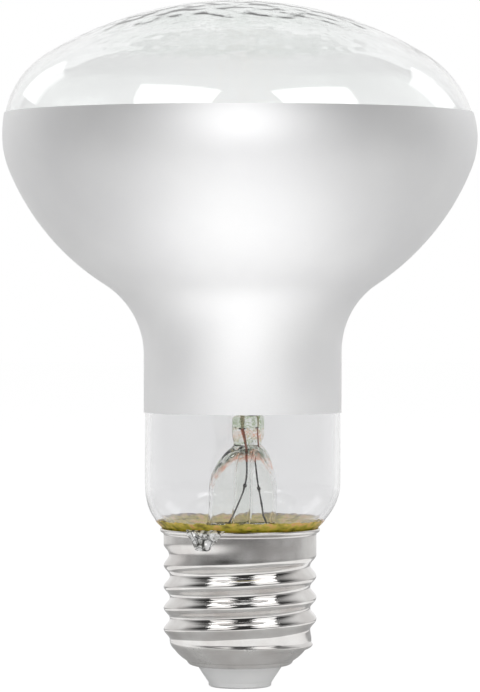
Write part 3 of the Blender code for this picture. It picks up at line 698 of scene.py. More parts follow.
def sway(height):
    """How far the hand of the glassblower left the bulb's middle off its axis, along X."""
    neck = (1 - fade(height, NECK_SWAY_FOOT, NECK_SWAY_LOW)) * fade(height, NECK_SWAY_HIGH, NECK_SWAY_TOP)
    return NECK_SWAY * neck + CROWN_SWAY * (1 - fade(height, CROWN_SWAY_FOOT, CROWN_SWAY_TOP))


def rippled(radius, angle, height):
    """A point of the blown glass: long soft waves all over, and small ones on the crown."""
    point = around(radius, angle, height)
    wave = noise.noise(point / RIPPLE_SIZE) * RIPPLE_HEIGHT
    small = noise.noise(point / CROWN_RIPPLE_SIZE) * CROWN_RIPPLE_HEIGHT
    wave += small * (1 - fade(height, CROWN_RIPPLE_START, CROWN_RIPPLE_END))
    middle = Vector((0, 0, HEAD_HEIGHT)) if height > HEAD_HEIGHT else Vector((0, 0, height))
    away = (point - middle).normalized() if radius > 0 or height > HEAD_HEIGHT else Vector((0, 0, 1))
    return point + away * (wave - RIPPLE_HEIGHT) + Vector((sway(height), 0, 0))


def bulb_glass():
    """Clear glass whose crown is a little greyer and covered with faint scales."""
    finish = glass_finish("clear_blown_glass", (0.97, 0.975, 0.975), (0.955, 0.965, 0.96), 30 * MM,
                          5 * MM, 0.01 * MM)
    scales = cells(finish, SCALE_SIZE, "SMOOTH_F1")
    mottled = combined(finish, "MULTIPLY_ADD", spots(finish, 7 * MM, 2.0), 0.6, scales)
    grey = colour_ramp(finish, mottled, (0.42, (0.97, 0.98, 0.975)), (0.75, (0.84, 0.865, 0.85)))
    crown = height_share(finish, CROWN_EDGE_FOOT, CROWN_EDGE_TOP)
    upper = mixed_colour(finish, crown, fed(finish, "Base Color"), grey)
    patches = spots(finish, 9 * MM)
    thick = colour_ramp(finish, patches, (0.3, (0.845, 0.845, 0.85)), (0.7, (0.865, 0.865, 0.87)))
    neck = height_share(finish, NECK_FINISH_TOP, BAND_FOOT)
    feed(finish, mixed_colour(finish, neck, upper, thick), "Base Color")
    bump(finish, combined(finish, "MULTIPLY", scales, crown), SCALE_HEIGHT, fed(finish, "Normal"))
    return finish


def make_bulb():
    outline = bulb_outline()
    inside = offset_outline(outline, -GLASS_WALL)
    mesh = turned_mesh("bulb_glass", outline + inside[::-1], BULB_STEPS, place=rippled)
    finished("bulb_glass", mesh, [bulb_glass()], ["glass_envelope"])


def band_finish():
    """Sprayed satin silver with fine grain and faint clouds."""
    finish = new_finish("satin_band", (0.86, 0.86, 0.86), 0.66, 1.0)
    clouds = spots(finish, 18 * MM)
    grain = spots(finish, 0.25 * MM, 2.0)
    tint(finish, clouds, (0.3, (0.84, 0.84, 0.845)), (0.7, (0.88, 0.88, 0.88)))
    worn = combined(finish, "MULTIPLY", combined(finish, "ADD", clouds, grain), 0.5)
    rough = between(finish, worn, 0.3, 0.7, 0.62, 0.7)
    neck = height_share(finish, NECK_FINISH_TOP, BAND_FOOT)
    thin = between(finish, neck, 0, 1, 0, NECK_EXTRA_ROUGHNESS)
    feed(finish, combined(finish, "ADD", rough, thin), "Roughness")
    bump(finish, grain, 0.004 * MM)
    return finish


def make_band():
    edge = cut_outline(bulb_outline(), BAND_TOP, BAND_FOOT)
    inside = offset_outline(edge, COATING_GAP)
    outside = offset_outline(edge, COATING_GAP + COATING_WALL)
    mesh = turned_mesh("metallised_band", outside + inside[::-1], BULB_STEPS, True, rippled)
    for face in mesh.polygons:
        flat = Vector((face.center.x, face.center.y, 0))
        face.material_index = 0 if flat.dot(face.normal) > 0 else 1
    mirror = metal_finish("hammered_lining", (0.58, 0.6, 0.58), (0.8, 0.82, 0.8), 0.12, 0.25,
                          2.2 * MM, 0.12 * MM)
    return finished("metallised_band", mesh, [band_finish(), mirror], ["reflector_coating"])


# Screw cap

def shell_outline():
    """Outer side of the cap: rolled rim, collar, thread, cone and the turned-in lip."""
    bead_height = RIM_HEIGHT - RIM_BEAD
    points = arc((RIM_RADIUS - RIM_BEAD, bead_height), RIM_BEAD, *RIM_BEAD_ANGLES, BEAD_STEPS)
    neck_foot = bead_height - RIM_NECK
    low_bead = points[-1]
    for i in range(1, BEND_STEPS + 1):
        share = i / BEND_STEPS
        radius = CREST_RADIUS + (low_bead[0] - CREST_RADIUS) * fade(share, 0, 1)
        points.append((radius, low_bead[1] + (neck_foot - low_bead[1]) * share))
    rows = math.ceil((neck_foot - THREAD_FOOT) / THREAD_ROW)
    points += straight((CREST_RADIUS, neck_foot), (CREST_RADIUS, THREAD_FOOT), rows)
    cone_foot = (CONE_FOOT_RADIUS, CONE_FOOT_HEIGHT)
    cone = straight((CREST_RADIUS - THREAD_DEPTH, THREAD_FOOT), cone_foot, CONE_STEPS)
    for i, (radius, height) in enumerate(cone):
        bulge = CONE_BULGE * math.sin(math.pi * (i + 1) / CONE_STEPS)
        points.append((radius + bulge, height - bulge))
    for i in range(1, BEND_STEPS + 1):
        angle = math.pi / 2 * i / BEND_STEPS
        radius = SHELL_HOLE_RADIUS + (CONE_FOOT_RADIUS - SHELL_HOLE_RADIUS) * math.cos(angle)
        points.append((radius, CONE_FOOT_HEIGHT + (SHELL_HOLE_HEIGHT - CONE_FOOT_HEIGHT) * math.sin(angle)))
    return points


def thread_radius(angle, height):
    """Radius of the rolled thread; its groove runs out into the collar and its crest into the cone."""
    turns = (height - THREAD_HEAD) / THREAD_PITCH - angle / math.tau + 0.5
    crest_height = height + (round(turns) - turns) * THREAD_PITCH
    groove_height = height + (math.floor(turns) + 0.5 - turns) * THREAD_PITCH
    last_groove = THREAD_HEAD - THREAD_PITCH / 2
    runout_start = last_groove - THREAD_PITCH * RUNOUT_START_SHARE
    runout_end = last_groove + THREAD_PITCH * RUNOUT_END_SHARE
    ridge_share = 0.5 + 0.5 * math.cos(math.tau * turns)
    groove_share = (1 - ridge_share) * fade(groove_height, runout_start, runout_end)
    grown_share = 1 - fade(crest_height, THREAD_FOOT, THREAD_FOOT + THREAD_PITCH * GROW_SHARE)
    return CREST_RADIUS - THREAD_DEPTH * (1 - (1 - groove_share) * grown_share)


def threaded(radius, angle, height):
    """A point of the shell, drawn in to the thread where there is one."""
    turned_angle = angle - math.tau if angle > math.pi else angle
    inset = CREST_RADIUS - thread_radius(turned_angle, height)
    if not THREAD_FOOT - MERGE_DISTANCE < height < THREAD_HEAD + THREAD_PITCH / 2:
        inset = 0
    ridge_share = (THREAD_FOOT - height) / RIDGE_DEPTH
    if 0 < ridge_share < 1:
        side_share = RIDGE_MEAN_SHARE + (1 - RIDGE_MEAN_SHARE) * math.cos(angle)
        inset -= RIDGE_HEIGHT * math.sin(math.pi * ridge_share) * side_share
    return around(radius - inset, angle, height)


def make_shell():
    outside = shell_outline()
    hole = SHELL_HOLE_RADIUS - SHELL_WALL
    inside = [(max(radius - SHELL_WALL, hole), height) for radius, height in outside]
    mesh = turned_mesh("screw_shell", outside + inside[::2][::-1], CAP_STEPS, True, threaded)
    nickel = metal_finish("nickel_plating", (0.56, 0.54, 0.525), (0.68, 0.67, 0.655), 0.07, 0.15,
                          0.22 * MM, 0.0015 * MM)
    collar = height_share(nickel, RUNOUT_HEIGHT - RIM_BEAD, RUNOUT_HEIGHT + RIM_BEAD)
    cone = height_share(nickel, THREAD_FOOT + RIM_BEAD, THREAD_FOOT - RIM_BEAD)
    satin = combined(nickel, "MULTIPLY", combined(nickel, "MAXIMUM", collar, cone), SATIN_ROUGHNESS)
    feed(nickel, combined(nickel, "ADD", fed(nickel, "Roughness"), satin), "Roughness")
    return finished("screw_shell", mesh, [nickel], ["cap_shell"])


def cement_finish():
    """Yellow-green cement with orange and dark streaks, purple-grey where it thins out at the top, and
    painted light: lighter colours on its far side, away from the camera.
    """
    finish = new_finish("lamp_cement", (0.42, 0.38, 0.08), 0.6)
    patches = spots(finish, 1.5 * MM, 3.0, (1, 1, 1.4))
    crumbs = spots(finish, 0.5 * MM)
    shader_of(finish).inputs["Specular IOR Level"].default_value = 0.12
    low = colour_ramp(finish, patches, (0.34, (0.14, 0.12, 0.004)), (0.42, (0.28, 0.25, 0.006)),
                      (0.54, (0.4, 0.34, 0.01)), (0.64, (0.52, 0.34, 0.02)), (0.7, (0.44, 0.2, 0.02)))
    high = colour_ramp(finish, patches, (0.34, (0.3, 0.24, 0.05)), (0.42, (0.5, 0.42, 0.08)),
                       (0.54, (0.7, 0.55, 0.12)), (0.64, (0.85, 0.52, 0.2)), (0.7, (0.72, 0.4, 0.2)))
    body = mixed_colour(finish, height_share(finish, RIM_HEIGHT, RIM_HEIGHT + CEMENT_CLIMB), low, high)
    rim = colour_ramp(finish, patches, (0.4, (0.4, 0.34, 0.5)), (0.6, (0.8, 0.66, 0.66)))
    # Painted light: pale holds lighter colours for the far side of the ring, away from the camera, which
    # lies in shade behind the heel.
    pale = colour_ramp(finish, patches, (0.36, (0.5, 0.4, 0.14)), (0.46, (0.75, 0.62, 0.2)),
                       (0.56, (0.95, 0.76, 0.3)), (0.66, (0.98, 0.62, 0.36)))
    edge = RIM_HEIGHT + CEMENT_CLIMB - CEMENT_SWELL
    upper = height_share(finish, edge - 2 * CEMENT_RAGGEDNESS, edge + CEMENT_RAGGEDNESS)
    upper = combined(finish, "ADD", upper, between(finish, crumbs, 0.3, 0.7, -0.35, 0.35))
    parts = parts_of(finish, object_place(finish))
    # far is one on the side away from the camera, where the painted lighter colours are used.
    far = between(finish, parts["Y"], -CEMENT_RADIUS / 2, 0, 0, 1)
    upper = combined(finish, "MULTIPLY", combined(finish, "MAXIMUM", upper, 0), far)
    body = mixed_colour(finish, far, body, pale)
    feed(finish, mixed_colour(finish, upper, body, rim), "Base Color")
    roughen(finish, crumbs, 0.3, 0.7, 0.45, 0.75)
    bump(finish, crumbs, 0.06 * MM)
    return finish


def make_cement():
    """Cement in the cap, lying against the heel and smeared a little way up it, with an uneven edge."""
    rings = []
    steps = 2 * CAP_STEPS
    contact_steps = 40
    skin_steps = 8
    contact_foot = HEEL_HEIGHT - HEEL_RADIUS * math.sin(HEEL_TURN)

    def on_heel(level, stand):
        turn = math.asin((HEEL_HEIGHT - level) / HEEL_RADIUS)
        return HEEL_CENTRE + (HEEL_RADIUS + stand) * math.cos(turn), level

    for i in range(steps):
        angle = math.tau * i / steps
        place = around(CREST_RADIUS, angle, 0)
        rag = noise.noise(place / CEMENT_RAG_SIZE)
        rag += noise.noise(place / CEMENT_FINE_RAG_SIZE) * CEMENT_FINE_RAG_SHARE
        top = RIM_HEIGHT + CEMENT_CLIMB - CEMENT_SWELL * math.sin(angle) + rag * CEMENT_RAGGEDNESS
        outline = []
        for step in range(skin_steps + 1):
            share = step / skin_steps
            outline.append(on_heel(top + (RIM_HEIGHT - top) * share, CEMENT_SKIN * (1 + share) / 2))
        outline += [(CEMENT_RIM_RADIUS, RIM_HEIGHT - CEMENT_LIP_DEPTH / 4)]
        outline += [(CEMENT_RADIUS, RIM_HEIGHT - CEMENT_LIP_DEPTH), (CEMENT_RADIUS, CEMENT_FOOT)]
        outline += [(SEAL_RADIUS, CEMENT_FOOT)]
        for step in range(contact_steps + 1):
            level = contact_foot + (top - contact_foot) * step / contact_steps
            outline.append(on_heel(level, -CEMENT_BITE))
        rings.append([around(radius, angle, level) for radius, level in outline])
    mesh = ring_mesh("cement_ring", [ring[::-1] for ring in rings], closed=True)
    finished("cement_ring", mesh, [cement_finish()], ["cap_cement"])


def make_solder():
    """A drop of solder that set in flat crumpled facets over the rim and down the collar."""
    noise.seed_set(SOLDER_SEED)
    outline = shell_outline()
    rings = []
    for row in range(SOLDER_ROWS + 1):
        front = []
        back = []
        for k in range(SOLDER_COLUMNS + 1):
            stray = noise.noise_vector(Vector((k, row, 0)) * SOLDER_STRAY_PITCH)
            inner = 0 < row < SOLDER_ROWS and 0 < k < SOLDER_COLUMNS
            share = row / SOLDER_ROWS + stray.y * SOLDER_STRAY_SHARE / SOLDER_ROWS
            share = min(max(share, 0), 1)
            aside = 2 * k / SOLDER_COLUMNS - 1 + stray.x * SOLDER_STRAY_SHARE * 2 / SOLDER_COLUMNS
            height = SOLDER_TOP + (SOLDER_FOOT - SOLDER_TOP) * share
            collar = max([r for r, z in outline if abs(z - height) < RIM_BEAD] + [CREST_RADIUS])
            width = SOLDER_TOP_WIDTH + (SOLDER_FOOT_WIDTH - SOLDER_TOP_WIDTH) * share
            angle = SOLDER_ANGLE + (aside * width + SOLDER_LEAN * share) / 2 / CREST_RADIUS
            stand = SOLDER_EDGE
            if inner:
                stand += max(SOLDER_THICKNESS * (1 + stray.z * SOLDER_CRUMPLE_SHARE) / 2, 0)
            front.append(around(collar + stand, angle, height))
            back.append(around(collar - SOLDER_EDGE, angle, height))
        rings.append(front + back[::-1])

    def cut_facets(shape):
        bmesh.ops.triangulate(shape, faces=shape.faces)

    mesh = ring_mesh("rim_solder", rings, capped=True)
    worked(mesh, [mesh], cut_facets).shade_flat()
    metal = metal_finish("crumpled_solder", (0.78, 0.78, 0.77), (0.92, 0.92, 0.91), 0.2, 0.4,
                         0.5 * MM, 0.03 * MM)
    shader_of(metal).inputs["Metallic"].default_value = SOLDER_SHINE
    flux = spots(metal, 0.9 * MM)
    clean = colour_ramp(metal, flux, (0.38, (0.12, 0.12, 0.11)), (0.46, (0.6, 0.6, 0.58)),
                        (0.52, (0.86, 0.86, 0.85)), (0.7, (0.95, 0.95, 0.95)))
    # Painted shade: dark lines along the borders of cells, multiplied into the colour, stand for the shade
    # in the solder's creases.
    crease_shade_distance = cells(metal, SOLDER_CREASE_SHADE_PITCH, "DISTANCE_TO_EDGE")
    painted_crease_shade = colour_ramp(metal, crease_shade_distance, (0.01, 0.1), (0.06, 1))
    feed(metal, mixed_colour(metal, 1, clean, painted_crease_shade, "MULTIPLY"), "Base Color")
    finished("rim_solder", mesh, [metal], ["side_solder"])


def make_foot():
    """The moulded foot: a flange inside the cone, a neck in its hole, and a cone with a round edge."""
    turn = math.atan2(FOOT_SIDE_FOOT_RADIUS - FOOT_TOP_RADIUS, FOOT_TOP - FOOT_ROUND)
    points = [(RIVET_RADIUS, FLANGE_TOP), (FLANGE_RADIUS, FLANGE_TOP), (FLANGE_RADIUS, FLANGE_FOOT)]
    points += [(FOOT_TOP_RADIUS, FOOT_TOP + RIM_BEAD), (FOOT_TOP_RADIUS, FOOT_TOP)]
    points += straight(points[-1], (FOOT_SIDE_FOOT_RADIUS, FOOT_ROUND), WIRE_STEPS)
    centre = (FOOT_SIDE_FOOT_RADIUS - FOOT_ROUND * math.cos(turn), FOOT_ROUND)
    points += arc(centre, FOOT_ROUND, turn, -math.pi / 2, WIRE_STEPS)[1:]
    pocket = CONTACT_RADIUS + SHELL_WALL
    points += [(pocket, 0), (pocket - SOLDER_EDGE, SOLDER_EDGE), (pocket - SOLDER_EDGE, CONTACT_POCKET)]
    points += [(RIVET_RADIUS, CONTACT_POCKET)]
    mesh = turned_mesh("plastic_foot", points, CAP_STEPS, True)
    plastic = plain_finish("white_moulded_plastic", (0.87, 0.875, 0.875), (0.92, 0.92, 0.915), 0.3, 0.42,
                           0.8 * MM, 0.006 * MM)
    return finished("plastic_foot", mesh, [plastic], ["cap_insulator"])


def make_contact():
    """A pressed contact with a raised ring and a bead of solder, on its rivet."""
    edge = CONTACT_RADIUS - SOLDER_EDGE
    points = [(0, RIVET_TOP), (RIVET_RADIUS, RIVET_TOP), (RIVET_RADIUS, CONTACT_POCKET - SOLDER_EDGE)]
    points += [(edge, CONTACT_POCKET - SOLDER_EDGE), (edge, CONTACT_RISE)]
    for i in range(1, CURVE_STEPS + 1):
        share = 1 - i / CURVE_STEPS
        ring = math.exp(-(((share - CONTACT_RING_SHARE) / CONTACT_RING_WIDTH_SHARE) ** 2))
        bead = fade(share, *CONTACT_BEAD_SHARES)
        points.append((edge * share, CONTACT_RISE * (1 - max(ring, bead))))
    mesh = turned_mesh("contact_button", points, SMALL_STEPS)
    metal = metal_finish("tinned_brass", (0.55, 0.5, 0.4), (0.72, 0.7, 0.64), 0.2, 0.38, 0.3 * MM,
                         0.01 * MM)
    finished("contact_button", mesh, [metal], ["contact_pin"])


# Stem, post and exhaust tube

def press_shape(height):
    """Half width, half thickness and squareness of the stem's outside at a height."""
    rise = min(max((height - SHOULDER_FOOT) / SHOULDER_RISE, 0), 1)
    shoulder = TUBE_RADIUS * math.sqrt(1 - rise**2)
    width = max(shoulder, PRESS_HALF_WIDTH)
    thickness = max(shoulder, PRESS_HALF_THICKNESS)
    boxy_share = fade(height, PRESS_FOOT + PRESS_ROUND, PRESS_FOOT - PRESS_ROUND)
    squareness = 1 + (PRESS_SQUARENESS - 1) * boxy_share
    if height < TUBE_FOOT:
        spread = (TUBE_FOOT - height) / (TUBE_FOOT - FLARE_HEIGHT)
        width = TUBE_RADIUS + (FLARE_RADIUS - TUBE_RADIUS) * (1 - math.sqrt(max(1 - spread**2, 0)))
        thickness = width
    if height > PRESS_TOP - PRESS_ROUND:
        rise = (height - PRESS_TOP + PRESS_ROUND) / PRESS_ROUND
        inset = PRESS_ROUND * (1 - math.sqrt(max(1 - rise**2, 0)))
        width -= inset
        thickness -= inset
    return width, thickness, squareness


def stem_glass_painted_reflections():
    """Glass of the stem: clear in its tube, with painted reflections of the cement and the leads,
    drawn as rusty, olive and dark strokes over the arch of its hollow."""
    finish = glass_finish("pressed_glass_painted_reflections", (0.96, 0.965, 0.96), (0.94, 0.95, 0.93), 6 * MM, 1.6 * MM,
                          0.04 * MM, STEM_BEND)
    parts = parts_of(finish, object_place(finish))
    aside = combined(finish, "SUBTRACT", parts["X"], TUBE_SHIFT + PRESS_SHIFT)
    squared_aside = combined(finish, "MULTIPLY", aside, aside)
    drop = combined(finish, "MULTIPLY", squared_aside, ARCH_DROP / ARCH_HALF_WIDTH**2)
    warp = between(finish, spots(finish, 1.6 * MM, 2.0), 0.3, 0.7, -ARCH_WAVER, ARCH_WAVER)
    level = combined(finish, "ADD", combined(finish, "ADD", parts["Z"], drop), warp)
    above = between(finish, level, ARCH_TOP - REFLECTION_STROKE_PITCH, ARCH_TOP + 7 * REFLECTION_STROKE_PITCH, 0, 1)
    # Painted reflection: these rust, olive and dark colours stand for the cement and leads mirrored in the
    # glass.
    tone = colour_ramp(finish, above, (0.0, (0.95, 0.7, 0.55)), (0.1, (0.8, 0.2, 0.09)),
                       (0.17, (0.88, 0.5, 0.3)), (0.22, (0.07, 0.11, 0.04)), (0.42, (0.14, 0.2, 0.09)),
                       (0.6, (0.5, 0.58, 0.36)), (0.8, (0.85, 0.4, 0.22)), (1.0, (0.35, 0.46, 0.25)))
    cycle = combined(finish, "FRACT", combined(finish, "DIVIDE", level, REFLECTION_STROKE_PITCH))
    strokes = colour_ramp(finish, cycle, (0, 0), (0.25, 1), (0.6, 0.7), (0.85, 0.1))
    # The painted reflections are shown only from just above the arch.
    pressed = between(finish, above, 0, 0.03, 0, 1)
    broken = between(finish, spots(finish, 1.1 * MM, 2.0), 0.38, 0.52, 0.2, 1)
    share = combined(finish, "MULTIPLY", combined(finish, "MULTIPLY", strokes, broken), pressed)
    feed(finish, mixed_colour(finish, share, fed(finish, "Base Color"), tone), "Base Color")
    return finish


def make_stem():
    outer_rows = 90
    inner_rows = 70
    rings = []
    for i in range(outer_rows + 1):
        height = PRESS_TOP + (FLARE_HEIGHT - PRESS_TOP) * i / outer_rows
        width, thickness, squareness = press_shape(height)
        rings.append(oval(width, thickness, height, squareness))
    rings.append(oval(FLARE_RADIUS, FLARE_RADIUS, FLARE_FOOT, 1))
    for i in range(inner_rows + 1):
        height = FLARE_FOOT + (HOLLOW_TOP - FLARE_FOOT) * i / inner_rows
        width, thickness, squareness = press_shape(max(height + STEM_WALL, FLARE_HEIGHT))
        width = max(width - STEM_WALL, EXHAUST_RADIUS)
        thickness = max(thickness - STEM_WALL, EXHAUST_RADIUS)
        if height > HOLLOW_SHOULDER:
            rise = (height - HOLLOW_SHOULDER) / (HOLLOW_TOP - HOLLOW_SHOULDER)
            dome = math.sqrt(max(1 - rise**2, 0))
            bore = TUBE_RADIUS - STEM_WALL
            width = EXHAUST_RADIUS + (bore - EXHAUST_RADIUS) * dome
            thickness = min(width, thickness)
        rings.append(oval(width, thickness, height, 1))
    mesh = ring_mesh("stem_glass", rings, capped=True)
    glass = glass_finish("drawn_glass", (0.96, 0.965, 0.96), (0.94, 0.95, 0.93), 6 * MM, 1.6 * MM,
                         0.02 * MM, STEM_BEND)
    finished("stem_glass", mesh, [stem_glass_painted_reflections()], ["stem_flare"])

    bore = EXHAUST_RADIUS - EXHAUST_WALL
    tip = EXHAUST_TIP + EXHAUST_RADIUS
    points = [(bore, EXHAUST_TOP), (EXHAUST_RADIUS, EXHAUST_TOP)]
    points += straight((EXHAUST_RADIUS, EXHAUST_TOP), (EXHAUST_RADIUS, tip), CURVE_STEPS)
    points += arc((0, tip), EXHAUST_RADIUS, 0, -math.pi / 2, BEAD_STEPS)[1:]
    points += arc((0, tip), bore, -math.pi / 2, 0, BEAD_STEPS)
    points += straight((bore, tip), (bore, EXHAUST_TOP), CURVE_STEPS)[:-1]
    mesh = turned_mesh("exhaust_glass", points, SMALL_STEPS, True, mounted_place)
    finished("exhaust_glass", mesh, [glass], ["exhaust_tube"])

    shoulder = math.asin(POST_RADIUS / POST_BEAD_RADIUS)
    points = arc((0, CROWN_HEIGHT), POST_BEAD_RADIUS, math.pi / 2, shoulder - math.pi / 2, NECK_STEPS)
    points += [(POST_RADIUS, POST_FOOT + POST_FLARE_RISE)]
    points += [(POST_MIDDLE_RADIUS, POST_FOOT + POST_FLARE_RISE / 2), (POST_FOOT_RADIUS, POST_FOOT)]
    points += [(0, POST_FOOT)]
    mesh = turned_mesh("post_glass", points, SMALL_STEPS, place=mounted_place)
    finished("post_glass", mesh, [glass], ["glass_post"])


# Leads

def strand_lines(line):
    """Two strands laid round each other along a line."""
    strands = ([], [])
    travelled = 0
    for i, (point, (across, aside)) in enumerate(zip(line, sides_of(line))):
        if i:
            travelled += (point - line[i - 1]).length
        for number, strand in enumerate(strands):
            angle = math.tau * travelled / STRAND_PITCH + math.pi * number
            strand.append(point + (across * math.cos(angle) + aside * math.sin(angle)) * STRAND_RADIUS)
    return strands


def knot_mesh(name, place, way, radius):
    """A small weld lump on a wire."""
    reach = way.normalized() * KNOT_LENGTH / 2
    line = [place + reach * (2 * i / WIRE_STEPS - 1) for i in range(WIRE_STEPS + 1)]

    def lump(share):
        return radius * max(math.sin(math.pi * share), KNOT_END_SHARE) ** KNOT_BLUNTNESS

    return tube_mesh(name, line, lump)


def sunk_lead(share):
    """Radius of an inner lead, which thins out where it is sunk into the press."""
    return LEAD_RADIUS * (1 - fade(share, *LEAD_TAPER_SHARES))


def make_leads():
    nickel_wire = metal_finish("nickel_wire", (0.36, 0.31, 0.2), (0.56, 0.5, 0.38), 0.2, 0.36, 0.4 * MM,
                               0.01 * MM)
    dark_wire = metal_finish("dark_stranded_wire", (0.03, 0.028, 0.03), (0.14, 0.13, 0.13), 0.3, 0.5,
                             0.25 * MM, 0.02 * MM)
    copper = metal_finish("copper_oxide_wire", (0.3, 0.09, 0.06), (0.62, 0.27, 0.18), 0.3, 0.5,
                          0.5 * MM, 0.02 * MM)
    for name, side, knot in (("left", -1, KNOT_STEPS[0]), ("right", 1, KNOT_STEPS[1])):
        middle = 0 if side > 0 else math.pi
        post = side * LEAD_SPREAD
        inner = [(post, 0, LEAD_LEVELS[0]), (post, 0, PRESS_TOP), (post, 0, PRESS_TOP + LEAD_RISE)]
        inner.append(around(LEAD_TURN_RADIUS, middle - math.pi / 4, RING_HEIGHT - LEAD_RISE / 4))
        for i in range(RING_PLACES + 1):
            inner.append(around(RING_RADIUS, middle + math.pi / 2 * (i / RING_PLACES - 0.5), RING_HEIGHT))
        line = [mounted(point) for point in along_route(inner, RING_STEPS)]
        mesh = tube_mesh(f"inner_lead_wire_{name}", line, sunk_lead)
        finished(f"inner_lead_wire_{name}", mesh, [nickel_wire], [f"inner_lead_{name}"])

        places = []
        for middle_x, spread, level in zip(LEAD_MIDDLES, LEAD_SPREADS, LEAD_LEVELS):
            places.append(Vector((middle_x + side * spread, side * LEAD_DEPTH, level)))
        places.append(mounted((side * LEAD_END_SPREAD, BOARD_SETBACK, LEAD_FOOT)))
        line = along_route(places, LEAD_STEPS)
        mesh = tube_mesh(f"dumet_wire_{name}", line[:LEAD_STEPS + 1], DUMET_RADIUS)
        finished(f"dumet_wire_{name}", mesh, [copper], [f"dumet_lead_{name}"])

        strand_pair = strand_lines(line[LEAD_STEPS:])
        strands = [tube_mesh("strand", strand, STRAND_RADIUS, STRAND_STEPS) for strand in strand_pair]
        strands.append(knot_mesh("knot", line[knot], line[knot + 1] - line[knot - 1], KNOT_RADIUS))
        strands.append(knot_mesh("weld", places[0], WELD_WAY, WELD_RADIUS))
        mesh = smoothed(worked(bpy.data.meshes.new(f"outer_lead_wire_{name}"), strands))
        finished(f"outer_lead_wire_{name}", mesh, [dark_wire], [f"outer_lead_{name}"])


# Filaments

def strap_mesh(name, foot, top, across, half_width, half_thickness, rows):
    """A bar of rounded cross-section; its half sizes are functions of the share of the way up."""
    way = (top - foot).normalized()
    aside = across.cross(way)
    rings = []
    for row in range(rows + 1):
        share = row / rows
        ring = []
        for k in range(WIRE_STEPS * 2):
            angle = math.tau * k / (WIRE_STEPS * 2)
            x = half_width(share) * squared(math.cos(angle), STRAP_SQUARENESS)
            y = half_thickness(share) * squared(math.sin(angle), STRAP_SQUARENESS)
            ring.append(foot + (top - foot) * share + across * x + aside * y)
        rings.append(ring)
    return ring_mesh(name, rings, capped=True)


def filament_finish():
    """Yellow silicone loaded with phosphor, a little waxy, speckled and patchy in tone."""
    finish = new_finish("phosphor_silicone", (0.86, 0.55, 0.12), 0.45)
    patches = spots(finish, 1.1 * MM)
    specks = spots(finish, 0.2 * MM, 2.0)
    tint(finish, patches, (0.35, (0.72, 0.4, 0.07)), (0.65, (0.9, 0.62, 0.16)))
    roughen(finish, specks, 0.3, 0.7, 0.35, 0.55)
    bump(finish, specks, 0.02 * MM)
    shader = shader_of(finish)
    shader.inputs["Subsurface Weight"].default_value = 0.3
    shader.inputs["Subsurface Radius"].default_value = (1.0 * MM, 0.6 * MM, 0.2 * MM)
    shader.inputs["Subsurface Scale"].default_value = 1.0
    return finish


def make_filaments():
    phosphor = filament_finish()
    pin_metal = metal_finish("pin_metal", (0.5, 0.48, 0.45), (0.72, 0.7, 0.67), 0.2, 0.35, 0.4 * MM,
                             0.01 * MM)
    bulges = FILAMENT_LENGTH / CHIP_PITCH

    def body_width(share):
        closed = min(share, 1 - share) * FILAMENT_LENGTH / (FILAMENT_THICKNESS / 2)
        rounding = math.sqrt(1 - (1 - min(closed, 1)) ** 2)
        bulge = CHIP_BULGE * math.cos(math.tau * bulges * share)
        return (FILAMENT_WIDTH / 2 - CHIP_BULGE + bulge) * max(rounding, FILAMENT_END_SHARE)

    def body_thickness(share):
        return body_width(share) * FILAMENT_THICKNESS / FILAMENT_WIDTH

    def pin_width(share):
        return PIN_WIDTH / 2 * (1 - PIN_TAPER_SHARE + PIN_TAPER_SHARE * math.cos(math.pi * share))

    for i in range(FILAMENTS):
        angle = math.tau * (i + 0.5) / FILAMENTS
        foot = around(RING_RADIUS, angle, RING_HEIGHT + LEAD_RADIUS + PIN_GAP)
        away = around(-math.sin(FILAMENT_LEAN), angle, math.cos(FILAMENT_LEAN))
        across = around(1, angle + math.pi / 2, 0)
        turn = Matrix.Rotation(STEM_TURN, 3, "Z")

        def bar(name, start, length, width, thickness, rows):
            low = mounted(foot + away * start)
            high = mounted(foot + away * (start + length))
            return strap_mesh(name, low, high, turn @ across, width, thickness, rows)

        name = f"filament_strip_{i + 1}"
        start = PIN_LENGTH + PIN_GAP
        mesh = bar(name, start, FILAMENT_LENGTH, body_width, body_thickness, FILAMENT_ROWS)
        finished(name, mesh, [phosphor], [f"led_filament_{i + 1}"])
        for end, low in (("lower", 0), ("upper", FILAMENT_REACH - PIN_LENGTH)):
            wide = (lambda share: pin_width(1 - share)) if end == "lower" else pin_width
            name = f"filament_end_{i + 1}_{end}"
            mesh = bar(name, low, PIN_LENGTH, wide, lambda share: PIN_THICKNESS / 2, WIRE_STEPS)
            finished(name, mesh, [pin_metal], [f"filament_pin_{i + 1}_{end}"])

    for number, middle in ((1, math.pi / 2), (2, -math.pi / 2)):
        bead_side = POST_BEAD_RADIUS + 2 * LEAD_RADIUS
        corner = math.pi / 4
        route = []
        for radius, turn in ((CROWN_RADIUS, -corner), (bead_side, -corner / 3), (bead_side, corner / 3),
                             (CROWN_RADIUS, corner)):
            route.append(around(radius, middle + turn, CROWN_HEIGHT))
        line = [mounted(point) for point in along_route(route, WIRE_STEPS)]
        mesh = tube_mesh(f"bridge_wire_{number}", line, LEAD_RADIUS)
        finished(f"bridge_wire_{number}", mesh, [pin_metal], [f"top_bridge_wire_{number}"])


# Parts of the driver keep their CAD shapes

def dress(finish, *nodes):
    for node in nodes:
        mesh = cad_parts[node].data
        if not mesh.materials:
            mesh.materials.append(finish)
        for i in range(len(mesh.materials)):
            mesh.materials[i] = finish


